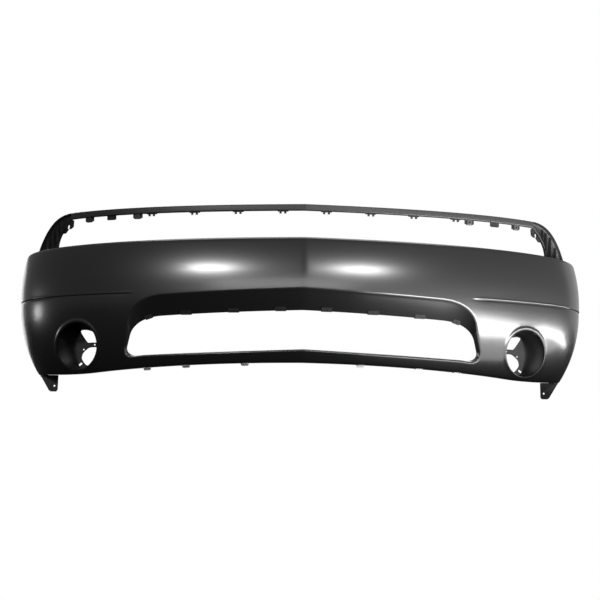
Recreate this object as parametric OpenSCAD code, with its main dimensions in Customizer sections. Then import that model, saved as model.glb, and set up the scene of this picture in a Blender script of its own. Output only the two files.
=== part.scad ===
// Front bumper cover: moulded skin, upper header bar, lamp and foot brackets, fog lamp buckets and fixings.
// Frame: +Z up, the front faces -Y, origin under the middle of the part at the level of its lowest points.

/* [Overall size] */
// Half of the overall width, at the widest point of the sides
half_width = 950; // [900:1:980]
// Front-to-back depth of the curved part of the plan
front_depth = 411; // [390:1:430]
// Length of the straight side between the curve and the wheel arch
side_run = 65; // [40:1:90]
// Backward slope of the front, each side of the centre crease
sweep = 0.12; // [0.09:0.01:0.15]
// Squareness of the plan curve, where 2 is an ellipse
plan_power = 2.42; // [2.3:0.01:2.6]
// Wall thickness of the skin
wall = 3; // [2.6:0.1:3.6]

/* [Face] */
// Height of the belly, where the face stands furthest out
belly_z = 324; // [316:1:332]
// Height of the top edge at the centre
top_z = 468; // [460:1:476]
// Height of the bottom edge at the centre
chin_z = 80; // [76:1:84]
// Radius of the face above the belly
upper_radius = 470; // [420:5:560]
// How far the bottom of the sides tucks in under the belly
lower_tuck = 70; // [60:1:80]
// Width of the shelf behind the top edge
shelf_width = 62; // [56:1:68]

/* [Header bar] */
// Distance of the header bar behind the front line
header_setback = 75; // [68:1:82]
// Height of the top of the header bar
header_top = 581; // [572:1:588]
// Height of its front face
header_height = 20; // [20:1:26]
// Half width of its straight part, up to the bend into the pillars
header_half = 765; // [758:1:772]

/* [Lower intake] */
// Depth of the intake's upper band behind the face
band_depth = 50; // [44:1:56]
// Depth of the intake's side and lower returns
return_depth = 26; // [22:1:30]

/* [Fog lamps] */
// Distance of each fog lamp hole from the centre
fog_x = 721; // [716:1:726]
// Height of each fog lamp hole
fog_z = 135; // [132:1:138]
// Radius of the hole's mouth
fog_radius = 71; // [68:0.5:73]
// Radius of each lamp screw hole
lamp_hole_radius = 2.8; // [2.5:0.1:3.2]

/* [Fixings] */
// Radius of the push pin holes in the header's mounting tabs
pin_hole_radius = 4; // [3.5:0.1:4.5]
// Radius of the notch in each headlamp hook
hook_radius = 8; // [7:0.5:9]
// Radius of the holes for the lamp screws in the header's hanging tabs
tab_hole_radius = 3; // [2.6:0.1:3.4]

/* [Hidden] */
$fn = 40;

nut_sheet = 1.2;
nut_gap = 0.5;
nose_y = -(front_depth + sweep * half_width + side_run + nut_sheet + nut_gap) / 2;
rear_y = nose_y + front_depth + sweep * half_width + side_run;
primer = [0.13, 0.13, 0.135];
black = [0.05, 0.05, 0.05];
steel = [0.55, 0.56, 0.58];

// ---- Small helpers -------------------------------------------------------------------------------

function clamp(v, low, high) = max(low, min(high, v));
function power(v, e) = v <= 0 ? 0 : pow(v, e);
function unit(v) = v / norm(v);
function mix(a, b, f) = a * (1 - f) + b * f;
function bezier2(a, b, c, f) = mix(mix(a, b, f), mix(b, c, f), f);
function bezier3(a, b, c, d, f) = mix(bezier2(a, b, c, f), bezier2(b, c, d, f), f);
function flat(grid) = [for (column = grid) each column];
function steps(count) = [for (i = [0:count]) i / count];

// ---- The face as a surface -----------------------------------------------------------------------

// Plan curve for t from 0 at the centre to 1 where the side runs straight, and on to 2 at the wheel arch.
function plan_x(t) = half_width * power(sin(90 * min(t, 1)), 2 / plan_power);
function plan_y(t) = nose_y + front_depth * (1 - power(cos(90 * min(t, 1)), 2 / plan_power))
    + sweep * plan_x(t) + side_run * max(t - 1, 0);
// Unit vector that points into the part from the plan curve. At the centre it runs straight back.
function inward(t) = t <= 0 ? [0, norm([1, sweep])]
    : let (e = 0.002, d = [plan_x(t + e) - plan_x(t - e), plan_y(t + e) - plan_y(t - e)])
        unit([-d[1], d[0]]);
// The face's distance behind the plan curve at a height.
function barrel(z) = z > belly_z ? pow(z - belly_z, 2) / (2 * upper_radius)
    : lower_tuck * power((belly_z - z) / (belly_z - bottom_edge(half_width)), 2.4);
function bottom_edge(x) = let (d = clamp(x - 700, 0, 90))
    chin_z - 50 * pow(min(x, 700) / 950, 2) - 0.0776 * d * (1 - d / 180) + 0.00035 * pow(max(x - 800, 0), 2);
function top_edge(x) = top_z - 11 * pow(x / half_width, 2);
// A point set back from the plan curve, on the right for side 1 and on the left for side -1.
function set_back(t, back, z, side = 1) =
    let (n = inward(t)) [side * (plan_x(t) + n[0] * back), plan_y(t) + n[1] * back, z];
// The plan parameter whose point, set back by some distance, has the given x. It is found by halving.
function t_at(x, back, low = 0, high = 1, n = 18) = n == 0 ? (low + high) / 2
    : let (m = (low + high) / 2) set_back(m, back, 0)[0] < x ? t_at(x, back, m, high, n - 1)
    : t_at(x, back, low, m, n - 1);
function face_y(x, z) = set_back(t_at(abs(x), barrel(z)), barrel(z), z)[1];

// Puts children at a point set back from the plan curve, with their +Y pointing into the part.
module at_back(t, back, z) {
    n = inward(t);
    translate(set_back(t, back, z)) rotate(atan2(n[1], n[0]) - 90) children();
}
module on_side(side) {
    if (side > 0) children();
    else mirror([1, 0, 0]) children();
}
module on_both() {
    for (side = [-1, 1]) on_side(side) children();
}

// ---- Solids between two grids of points ----------------------------------------------------------

function quads(nu, nv, base, closed, out) = [
    for (i = [0:closed ? nu - 1 : nu - 2], j = [0:nv - 2])
        let (a = base + i * nv + j, b = base + (i + 1) % nu * nv + j)
            each out ? [[a, a + 1, b + 1], [a, b + 1, b]] : [[a, b + 1, a + 1], [a, b, b + 1]]
];
function edge_strip(a, b, shift) = [[a, b, b + shift], [a, b + shift, a + shift]];

// A wall between an outer and an inner grid, each a list of columns. Seen from outside, columns run to the
// right and each one runs upwards. Closed means that the columns go round.
module walled(outer, inner, closed = false) {
    nu = len(outer);
    nv = len(outer[0]);
    m = nu * nv;
    last = closed ? nu - 1 : nu - 2;
    low = [for (i = [0:last]) each edge_strip(i * nv, (i + 1) % nu * nv, m)];
    high = [for (i = [0:last]) each edge_strip((i + 1) % nu * nv + nv - 1, i * nv + nv - 1, m)];
    ends = closed ? [] : [for (j = [0:nv - 2]) each concat(edge_strip(j + 1, j, m),
        edge_strip((nu - 1) * nv + j, (nu - 1) * nv + j + 1, m))];
    polyhedron(concat(flat(outer), flat(inner)),
        concat(quads(nu, nv, 0, closed, true), quads(nu, nv, m, closed, false), low, high, ends));
}

// ---- Bumper skin ---------------------------------------------------------------------------------

skin_columns = 28;
edge_radius = 10;
chin_flange = 22;
arch_flange = 20;
// Stations along one side: plan parameter, extra inward distance, and whether the wall turns a corner.
half_stations = concat([for (i = [1:skin_columns]) [i / skin_columns, 0, 0]],
    [[1.5, 0, 0], [2, 0, 1], [2, arch_flange, 1]]);
function shelf_at(t) = t < 0.93 ? shelf_width : mix(shelf_width, 20, clamp((t - 0.93) / 0.15, 0, 1));

// Profile of the skin at plan parameter t: [inward distance, height, share of the wall
// that its inner side moves inward, and upward].
function profile(t) =
    let (x = plan_x(t), zb = bottom_edge(x), zt = top_edge(x), r = edge_radius, bb = barrel(zb),
        bt = barrel(zt))
    concat(
        [[bb + chin_flange, zb, 0, 1], [bb + 5, zb, 0.5, 1], [bb + 1.5, zb + 1.5, 1, 1]],
        [for (f = steps(11)) let (z = mix(zb + 6, zt - r, f)) [barrel(z), z, 1, 0]],
        [for (a = [30, 60]) [bt + r * (1 - cos(a)), zt - r + r * sin(a), cos(a), -sin(a)]],
        [[bt + r, zt, 0, -1], [bt + shelf_at(t), zt, 0, -1]]
    );
function skin_column(station, side, inner) = [
    for (p = profile(station[0]))
        let (q = set_back(station[0], p[0] + station[1] + inner * wall * max(p[2], station[2]),
            p[1] + inner * wall * p[3], side))
        q - [0, inner * station[2] * wall, 0]
];
function skin_grid(inner) = concat(
    [for (i = [len(half_stations) - 1:-1:0]) skin_column(half_stations[i], -1, inner)],
    [skin_column([0, 0, 0], 1, inner)],
    [for (s = half_stations) skin_column(s, 1, inner)]
);

// Intake outline on the right as [x, z], from the bottom centre to the top centre. Inner is the far edge.
function intake_bottom(x, inner) = 119 + 3 * inner - 0.034 * x;
function intake_top(x, inner) =
    inner ? 242 - 0.02 * x - 0.000035 * x * x : 300 - 0.03 * x - 0.000023 * x * x;
function intake_half(inner) = concat(
    [for (f = steps(7)) let (x = 500 * f) [x, intake_bottom(x, inner ? 1 : 0)]],
    [for (f = steps(5)) bezier2([inner ? 524 : 530, inner ? 103.5 : 99],
        [inner ? 556 : 565, inner ? 105 : 98],
        [inner ? 554 : 562, 130], f)],
    [for (f = steps(7)) bezier2([inner ? 546 : 550, inner ? 165 : 190],
        [inner ? 532 : 545, inner ? 222 : 278],
        [inner ? 440 : 430, intake_top(inner ? 440 : 430, inner)], f)],
    [for (i = [6:-1:0]) let (x = 400 * i / 6) [x, intake_top(x, inner)]]
);
function whole_outline(half) = concat(half, [for (i = [len(half) - 2:-1:1]) [-half[i][0], half[i][1]]]);
intake_outer = whole_outline(intake_half(false));
intake_inner = whole_outline(intake_half(true));
function outward2(loop, i) = let (n = len(loop), d = loop[(i + 1) % n] - loop[(i + n - 1) % n])
    unit([d[1], -d[0]]);
function fog_outline(r, count) = [for (i = [0:count - 1]) let (a = 360 * i / count)
    [fog_x + r * 0.97 * cos(a), fog_z + r * 1.03 * sin(a)]];

// A return that runs back from a hole in the face: front outline on the face, far outline deeper in.
module face_return(front, far, depth_at, grow) {
    n = len(front);
    inner = [for (i = [0:n - 1]) [
        [front[i][0], face_y(front[i][0], front[i][1]) + 1.7, front[i][1]],
        [far[i][0], face_y(far[i][0], far[i][1]) + depth_at[i], far[i][1]]
    ]];
    outer = [for (i = [0:n - 1]) let (o = outward2(front, i) * grow) [
        [front[i][0] + o[0], face_y(front[i][0] + o[0], front[i][1] + o[1]) + 1.7, front[i][1] + o[1]],
        inner[i][1] + [o[0], 0, o[1]]
    ]];
    walled(inner, outer, closed = true);
}

module prism(outline, from, to) translate([0, to, 0]) rotate([90, 0, 0]) linear_extrude(to - from)
    polygon(outline);
// The outline through the middles of a loop's sides, moved outwards.
function grown(loop, by) = let (n = len(loop)) [for (i = [0:n - 1])
    let (a = loop[i], b = loop[(i + 1) % n], d = unit(b - a)) (a + b) / 2 + [d[1], -d[0]] * by];

boss_at = [for (a = [62, 148, 212]) [fog_x + 96 * cos(a), fog_z + 88 * sin(a)]];
function boss_y(p) = face_y(p[0], p[1]) + 16;
shelf_screw_t = [0.735, 0.8];
shelf_screw_sink = 50;
foot_screw_t = [0.885, 0.95];
chin_nut_x = [180, 365, 490];
arch_nut_z = [150, 250, 350];
// Puts children on the rear edge of the chin flange or of the arch flange, with +Y off the edge.
module at_chin(x) {
    back = barrel(bottom_edge(x)) + chin_flange;
    t = t_at(x, back);
    at_back(t, back, bottom_edge(plan_x(t))) rotate([0, atan(100 * x / 950 / 950), 0]) children();
}
module at_arch(z) translate([half_width - barrel(z) - arch_flange, rear_y, z]) rotate([90, 0, 0]) rotate(90)
    children();

module bumper_skin() {
    fog_loop = fog_outline(fog_radius, 32);
    band = [for (p = intake_inner) mix(return_depth, band_depth, clamp((p[1] - 120) / 90, 0, 1))];
    color(primer) resize([2 * half_width, 0, 0]) difference() {
        union() {
            difference() {
                walled(skin_grid(0), skin_grid(1));
                prism(grown(intake_outer, 1.7), nose_y - 10, nose_y + 260);
                on_both() prism(grown(fog_loop, 1.7), nose_y, 60);
            }
            face_return(intake_outer, intake_inner, band, wall);
            on_both() {
                face_return(fog_loop, fog_loop, [for (p = fog_loop) 12], wall);
                for (p = boss_at) translate([p[0], boss_y(p), p[1]]) rotate([90, 0, 0])
                    cylinder(r = 5, h = 12.4);
            }
        }
        on_both() {
            for (p = boss_at) translate([p[0], boss_y(p) + 1, p[1]]) rotate([90, 0, 0])
                cylinder(r = 2, h = 11, $fn = 16);
            for (t = shelf_screw_t) at_back(t, shelf_screw_sink, top_edge(plan_x(t)) - 10)
                cylinder(r = 2.5, h = 20, $fn = 16);
            for (t = foot_screw_t) translate(foot_point(t))
                cylinder(r = 2.5, h = 20, center = true, $fn = 16);
            for (x = chin_nut_x) at_chin(x) translate([0, -7, 0])
                cylinder(r = 3, h = 20, center = true, $fn = 16);
            for (z = arch_nut_z) at_arch(z) translate([0, -7, 0])
                cylinder(r = 3, h = 20, center = true, $fn = 16);
        }
    }
}

bumper_skin();

// ---- Header bar ----------------------------------------------------------------------------------

header_end = t_at(header_half, header_setback);
header_bottom = header_top - header_height;
header_flange = 18;
function header_profile() = let (b = header_setback, z = header_top, w = header_bottom) [
    [b + header_flange, z, 0, -1], [b + 2, z, 0.5, -1], [b, z - 2, 1, -0.5],
    [b, w + 2, 1, 0.5], [b + 2, w, 0.5, 1], [b + 12, w, 0, 1]
];
function header_column(t, side, inner) = [for (p = header_profile())
    set_back(t, p[0] + inner * wall * p[2], p[1] + inner * wall * p[3], side)];
function header_grid(inner) = concat(
    [for (i = [14:-1:1]) header_column(header_end * i / 14, -1, inner)],
    [for (i = [0:14]) header_column(header_end * i / 14, 1, inner)]
);
// Tab with a hole: hangs down at the back of the bar, or lies flat behind its top.
module hanging_tab(hole) rotate([90, 0, 0]) linear_extrude(wall, center = true) difference() {
    translate([-16, -14]) square([32, 16.5]);
    if (hole) translate([0, -7]) circle(tab_hole_radius);
}
module flat_tab() difference() {
    translate([-22, -5, -wall]) cube([44, 33, wall]);
    translate([0, 14, -10]) cylinder(r = pin_hole_radius, h = 20);
}
module header_bar() color(primer) {
    difference() {
        walled(header_grid(1), header_grid(0));
        on_both() for (p = splice_holes) at_back(p[0], p[1], header_top)
            cylinder(r = 2.4, h = 20, center = true);
    }
    on_both() {
        for (x = lamp_tab_x) at_back(t_at(x, header_setback), header_setback + 10.4, header_bottom)
            hanging_tab(x != lamp_tab_x[1]);
        for (x = [140, 400, 640]) at_back(t_at(x, header_setback), header_setback + header_flange,
            header_top)
            flat_tab();
    }
}
lamp_tab_x = [539, 628, 705];
splice_holes = [for (x = [736, 757]) [t_at(x, header_setback), header_setback + 11]];

header_bar();

// ---- Headlamp pillars ----------------------------------------------------------------------------

pillar_rows = 14;
pillar_wall = 4;
pillar_deep = 14;
pillar_foot = top_z - 8;
function pillar_at(f, lower) = lower
    ? bezier3([header_end + 0.006, header_bottom], [0.655, header_bottom - 23], [0.72, pillar_foot + 40],
        [0.7, pillar_foot], f)
    : bezier3([header_end + 0.003, header_top], [0.7, header_top - 6], [0.746, header_top - 36],
        [0.835, pillar_foot], f);
function pillar_sink(f, lower) = mix(header_setback, lower ? 65 : 43, f);
// One rung across the pillar, from the rim of its outer edge to the rim of its inner edge, open in front.
function pillar_rung(f, inner) =
    let (a = pillar_at(f, false), b = pillar_at(f, true), s = pillar_sink(f, false))
    let (r = pillar_sink(f, true), deep = pillar_deep - pillar_wall * inner)
    let (p = set_back(a[0], s + deep, a[1]), q = set_back(b[0], r + deep, b[1]))
    let (d = unit(q - p) * pillar_wall * inner)
    [set_back(a[0], s, a[1]) + d, p + d, q - d, set_back(b[0], r + 5, b[1]) - d];
hook_t = 0.645;
hook_sink = 84;
hook_z = header_top - 43.3;
// The hook plate's outline, outwards and up, with the notch at the origin.
hook_outline = [
    [2, -8], [15, -20], [40, -20], [40, 20], [10, 28], [-12, 26], [-24, 18], [-22, -2], [-8, -8]
];
module hook_plate() at_back(hook_t, hook_sink, hook_z) rotate([90, 0, 0])
    linear_extrude(pillar_wall, center = true) difference() {
        polygon(hook_outline);
        circle(hook_radius);
        translate([-6, -20]) square([7, 20]);
    }
module pillar_rib(t, sink, z, tall) at_back(t, sink, z) translate([-1.25, 0, 0]) cube([2.5, 14, tall]);
module lamp_pillar() color(black) {
    walled([for (f = steps(pillar_rows)) pillar_rung(f, 0)],
        [for (f = steps(pillar_rows)) pillar_rung(f, 1)]);
    difference() {
        at_back(t_at(747, header_setback), header_setback + 4.5, header_top - 7.2)
            translate([-26, 0, 0]) cube([52, 12, 3.8]);
        for (p = splice_holes) at_back(p[0], p[1], header_top) cylinder(r = 2.2, h = 20, center = true);
    }
    hook_plate();
    pillar_rib(0.68, 70, header_top - 58, 38);
    pillar_rib(0.7, 66, header_top - 90, 60);
    pillar_rib(0.73, 62, pillar_foot + 1, 76);
    pillar_rib(0.77, 56, pillar_foot + 1, 44);
    difference() {
        at_back(0.768, 44, pillar_foot) translate([-42, 0, 0]) cube([84, 34, wall]);
        for (t = shelf_screw_t) at_back(t, shelf_screw_sink, pillar_foot - 10) cylinder(r = 2.5, h = 20);
    }
}

mirror([1, 0, 0]) lamp_pillar();  // left_lamp_pillar
lamp_pillar();  // right_lamp_pillar

// ---- Fog lamp buckets ----------------------------------------------------------------------------

bucket_back = 40;
bucket_end = [700, 56, 70];
bucket_turns = 32;
function bucket_point(i, f, inner) =
    let (a = 360 * i / bucket_turns, s = f * f * (3 - 2 * f), w = bucket_end)
    let (rx = mix(fog_radius + 7, w[1], s) - wall * inner)
    let (rz = mix(fog_radius * 1.03 + 5, w[2], s) - wall * inner, x = mix(fog_x, w[0], s) + rx * cos(a))
    let (z = max(fog_z + rz * sin(a), bottom_edge(x) + 4.6 + wall * inner))
    let (px = fog_x + rx * cos(a), front = max(face_y(px, z) + 13, face_y(px, fog_z) + 7.5))
    [x, mix(front, bucket_back, f), z];
// The bucket's rear plate: two windows with an arm between them, lamp screw holes and an aiming slot.
window_high = [
    [726, 194], [711, 198], [690, 195], [668, 182], [655, 166], [651, 157], [690, 156], [699, 154.5]
];
window_low = [
    [692, 141], [706, 129], [714, 120], [718, 103], [703, 82], [688, 79], [666, 90], [654, 108], [650, 141]
];
arm_at = [[676, 149], [711, 132.5]];
slot_ends = [[717.5, 86.5], [726, 79.5]];
module bucket_plate() difference() {
    translate([0, bucket_back, 0]) rotate([90, 0, 0]) linear_extrude(4) difference() {
        translate([bucket_end[0], fog_z]) scale([bucket_end[1] - 1, bucket_end[2] - 1]) circle(1, $fn = 32);
        polygon(window_high);
        polygon(window_low);
        hull() for (p = slot_ends) translate(p) circle(3.3, $fn = 16);
    }
    for (p = arm_at) through_y(p, lamp_hole_radius);
}
module bucket_ear(p) {
    hull() for (f = [0, 0.25]) translate([mix(p[0], fog_x, f), boss_y(p) + 0.4, mix(p[1], fog_z, f)])
        rotate([-90, 0, 0]) cylinder(r = 9, h = 4);
    translate([p[0], boss_y(p) + 0.4, p[1]]) rotate([0, -atan2(p[1] - fog_z, p[0] - fog_x), 0])
        translate([-34, 0, -1.5]) cube([30, 32, 3]);
}
module through_y(p, r) translate([p[0], 0, p[1]]) rotate([90, 0, 0])
    cylinder(r = r, h = 600, center = true);
module fog_bucket() color(black) {
    walled([for (i = [0:bucket_turns - 1]) [for (f = steps(6)) bucket_point(i, f, 1)]],
        [for (i = [0:bucket_turns - 1]) [for (f = steps(6)) bucket_point(i, f, 0)]], closed = true);
    bucket_plate();
    for (p = boss_at) difference() {
        bucket_ear(p);
        through_y(p, 2.2);
        through_y([fog_x, fog_z], fog_radius + 4.6);
    }
}

mirror([1, 0, 0]) fog_bucket();  // left_fog_bucket
fog_bucket();  // right_fog_bucket

// ---- Foot brackets under the corners -------------------------------------------------------------

foot_sink = barrel(chin_z - 23) + 14;
foot_top = bottom_edge(plan_x(0.85)) - 0.3;
function foot_point(t) = set_back(t, foot_sink, foot_top);
foot_y = foot_point(foot_screw_t[0])[1] - 14;
foot_pad = [[806, 0], [866, 0], [875, 70], [846, 70], [840, 27], [808, 8]];
foot_plate = [[806, -1], [866, -1], [836, -51], [830, -foot_top], [812, -foot_top], [807, -49]];
foot_hole_at = [818, 19];
module foot_bracket() color(black) {
    difference() {
        union() {
            translate([0, foot_y, foot_top - wall]) linear_extrude(wall) polygon(foot_pad);
            translate([0, foot_y + wall, 0]) rotate([90, 0, 0]) linear_extrude(wall)
                translate([0, foot_top]) polygon(foot_plate);
            for (x = [820, 848]) translate([x, foot_y + 1, foot_top - 20]) cube([2.5, 12, 18]);
        }
        for (t = foot_screw_t) translate(foot_point(t)) cylinder(r = 2.2, h = 20, center = true);
        translate([foot_hole_at[0], foot_y, foot_hole_at[1]]) rotate([90, 0, 0])
            cylinder(r = 3.2, h = 60, center = true);
    }
}

mirror([1, 0, 0]) foot_bracket();  // left_foot_bracket
foot_bracket();  // right_foot_bracket

// ---- Screws, nuts and clips ----------------------------------------------------------------------

// Pan-head screw: head above z = 0, shank below it.
module screw(length, head = 4.5) color(steel) {
    difference() {
        union() {
            cylinder(r = head, h = 1.2);
            cylinder(r = head * 0.8, h = 2.6);
        }
        for (a = [0, 90]) translate([0, 0, 2.4]) rotate(a) cube([head, 0.9, 1.6], center = true);
    }
    translate([0, 0, -length]) cylinder(r = 1.9, h = length + 0.4);
}
module bucket_screws() for (p = boss_at) translate([p[0], boss_y(p) + 4.5, p[1]]) rotate([-90, 0, 0])
    screw(12);
module pillar_screws() for (p = splice_holes) at_back(p[0], p[1], header_top + 0.1) screw(10);
module foot_screws() for (t = foot_screw_t) translate(foot_point(t) - [0, 0, wall + 0.1])
    rotate([180, 0, 0]) screw(9);
module shelf_screws() for (t = shelf_screw_t)
    at_back(t, shelf_screw_sink, pillar_foot + wall + 0.1) screw(12);

mirror([1, 0, 0]) bucket_screws();  // left_bucket_screws
bucket_screws();  // right_bucket_screws
mirror([1, 0, 0]) {  // left_pillar_screws
    pillar_screws();
    shelf_screws();
}
union() {  // right_pillar_screws
    pillar_screws();
    shelf_screws();
}
mirror([1, 0, 0]) foot_screws();  // left_foot_screws
foot_screws();  // right_foot_screws

// Snap clip: a saddle inside the bar's lower flange with two sprung fingers below it.
module snap_clip() color(black) {
    translate([-17, 4.2, wall + 0.3]) cube([34, 11, 1.5]);
    translate([-17, 13.2, -1.8]) cube([34, 2, wall + 3.6]);
    translate([-17, 6, -1.8]) cube([34, 9.2, 1.5]);
    for (x = [-11, 4]) translate([x, 8, -9]) {
        cube([7, 2.2, 8]);
        translate([0, 2.1, 0]) cube([7, 2, 2.5]);
    }
}
clip_x = [70, 212, 352, 492];
module header_snap_clips() on_both() for (x = clip_x)
    at_back(t_at(x, header_setback), header_setback, header_bottom)
    snap_clip();

header_snap_clips();

// Sheet steel U-nut that grips an edge. The edge's sheet lies in z from 0 to grip and ends at y = 0.
module u_nut(wide, reach, grip, bore = 2.4, flap = 0) color(steel) difference() {
    union() {
        translate([-wide / 2, -reach, -nut_gap - nut_sheet])
            cube([wide, reach + nut_gap + nut_sheet, nut_sheet]);
        translate([-wide / 2, -reach, grip + nut_gap]) cube([wide, reach + nut_gap + nut_sheet, nut_sheet]);
        translate([-wide / 2, nut_gap, -nut_gap - 0.5 - flap])
            cube([wide, nut_sheet, grip + 2 * nut_gap + 1 + flap]);
        translate([0, -reach / 2, grip + nut_gap]) cylinder(r = bore + 1.6, h = nut_sheet + 2.5);
    }
    translate([0, -reach / 2, 0]) cylinder(r = bore, h = 60, center = true);
}
module lamp_tab_nuts() on_both() for (x = [lamp_tab_x[0], lamp_tab_x[2]])
    at_back(t_at(x, header_setback), header_setback + 10.4 - wall / 2, header_bottom - 14)
        rotate([-90, 0, 0]) u_nut(18, 14, wall);

lamp_tab_nuts();

clip_at = [[71, 34], [217, 34], [366, 34], [484, 24]];
module intake_clip(x, wide) {
    corner = x > 440 ? 1 : 0;
    zo = intake_top(min(x, 430), false) - 12.3 * corner;
    zi = intake_top(min(x, 440), true) - 7.6 * corner;
    fy = face_y(x, zo) + 0.8;
    by = face_y(x, zi) + band_depth;
    yaw = atan2(face_y(x + 5, zi) - face_y(x - 5, zi), 10);
    translate([x, by, zi]) rotate(yaw) rotate([0, 17.5 * corner, 0])
        rotate([atan2(zi - zo, (by - fy) * cos(yaw)), 0, 0])
        u_nut(wide, 15, 2.4, 2);
}
module intake_grille_clips() on_both() for (c = clip_at) intake_clip(c[0], c[1]);

intake_grille_clips();

module chin_nuts() on_both() for (x = chin_nut_x) at_chin(x) translate([0, 0.8, 0])
    u_nut(24, 14.8, wall, flap = 7);

chin_nuts();

module arch_nuts() for (z = arch_nut_z) at_arch(z) u_nut(20, 14, wall);

mirror([1, 0, 0]) arch_nuts();  // left_arch_nuts
arch_nuts();  // right_arch_nuts
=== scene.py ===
"""Front bumper cover: a moulded skin, a header bar, lamp pillars, fog lamp buckets, brackets and fixings.

All sizes are in millimetres until a mesh is made. The front faces -Y and +Z is up.
"""

from __future__ import annotations

import logging
import math
from dataclasses import dataclass, field
from enum import Enum

import bmesh
import bpy
import numpy as np
from mathutils import Matrix, Vector
from mathutils.geometry import delaunay_2d_cdt


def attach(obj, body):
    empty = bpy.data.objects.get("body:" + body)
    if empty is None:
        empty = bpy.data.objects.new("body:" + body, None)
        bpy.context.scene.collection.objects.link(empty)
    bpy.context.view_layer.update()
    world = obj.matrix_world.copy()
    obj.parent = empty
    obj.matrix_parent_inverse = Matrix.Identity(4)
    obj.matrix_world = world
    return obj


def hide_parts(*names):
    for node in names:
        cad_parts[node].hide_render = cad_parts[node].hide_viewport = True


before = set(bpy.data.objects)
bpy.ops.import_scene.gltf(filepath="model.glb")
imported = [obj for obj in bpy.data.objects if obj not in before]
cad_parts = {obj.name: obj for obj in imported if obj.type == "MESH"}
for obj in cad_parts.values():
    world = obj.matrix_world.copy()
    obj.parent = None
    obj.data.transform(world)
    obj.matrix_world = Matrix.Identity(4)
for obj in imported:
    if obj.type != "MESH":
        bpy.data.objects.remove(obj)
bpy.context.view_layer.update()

MM = 0.001
LOG = logging.getLogger("bumper_cover")
Pair = tuple[float, float]
Triple = tuple[float, float, float]


class Side(Enum):
    """Side of the cover, as the front is seen."""

    LEFT = -1.0
    RIGHT = 1.0

    @property
    def word(self) -> str:
        """The side's name in node names."""
        return self.name.lower()


class Facing(Enum):
    """Which wall of the skin a surface belongs to."""

    OUTER = "outer"
    INNER = "inner"


# ---- Shape of the face ---------------------------------------------------------------------------


@dataclass(frozen=True)
class CoverShape:
    """Sizes of the cover, the same as the solids have."""

    half_width: float = 950.0
    front_depth: float = 411.0
    side_run: float = 65.0
    sweep: float = 0.12
    plan_power: float = 2.42
    crease_softness: float = 5.0
    wall: float = 3.0
    belly_z: float = 324.0
    top_z: float = 468.0
    chin_z: float = 80.0
    upper_radius: float = 470.0
    lower_tuck: float = 70.0
    tuck_power: float = 2.4
    shelf_width: float = 62.0
    edge_radius: float = 10.0
    chin_flange: float = 22.0
    arch_flange: float = 20.0
    nut_room: float = 1.7
    header_setback: float = 75.0
    header_top: float = 581.0
    header_height: float = 20.0
    header_half: float = 765.0
    header_flange: float = 18.0
    band_depth: float = 50.0
    return_depth: float = 26.0
    fog_x: float = 721.0
    fog_z: float = 135.0
    fog_radius: float = 71.0

    @property
    def nose_y(self) -> float:
        """Place of the foremost point of the cover."""
        return -(self.front_depth + self.sweep * self.half_width + self.side_run + self.nut_room) / 2

    @property
    def rear_y(self) -> float:
        """Place of the wheel-arch flange."""
        return self.nose_y + self.front_depth + self.sweep * self.half_width + self.side_run


def smooth_step(low: float, high: float, value: np.ndarray) -> np.ndarray:
    """Smooth rise from 0 at low to 1 at high.

    Args:
        low: Value where the rise starts.
        high: Value where it ends.
        value: Values to map.

    Returns:
        The mapped values.
    """
    f = np.clip((np.asarray(value, float) - low) / (high - low), 0.0, 1.0)
    return f * f * (3.0 - 2.0 * f)


def between(start: Pair, end: Pair, count: int) -> list[Pair]:
    """Evenly spaced points between two points, without the two themselves."""
    (x0, z0), (x1, z1) = start, end
    steps = count + 1
    return [(x0 + (x1 - x0) * i / steps, z0 + (z1 - z0) * i / steps) for i in range(1, steps)]


def curve_at(points: list[Pair], f: float) -> Pair:
    """A point of a Bezier curve of any degree, for a share of the way along it."""
    row = [np.array(p, float) for p in points]
    while len(row) > 1:
        row = [a * (1 - f) + b * f for a, b in zip(row, row[1:])]
    return float(row[0][0]), float(row[0][1])


def bezier(points: list[Pair], count: int) -> list[Pair]:
    """Points along a Bezier curve of any degree.

    Args:
        points: Control points.
        count: Number of steps.

    Returns:
        count + 1 points.
    """
    return [curve_at(points, i / count) for i in range(count + 1)]


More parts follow.
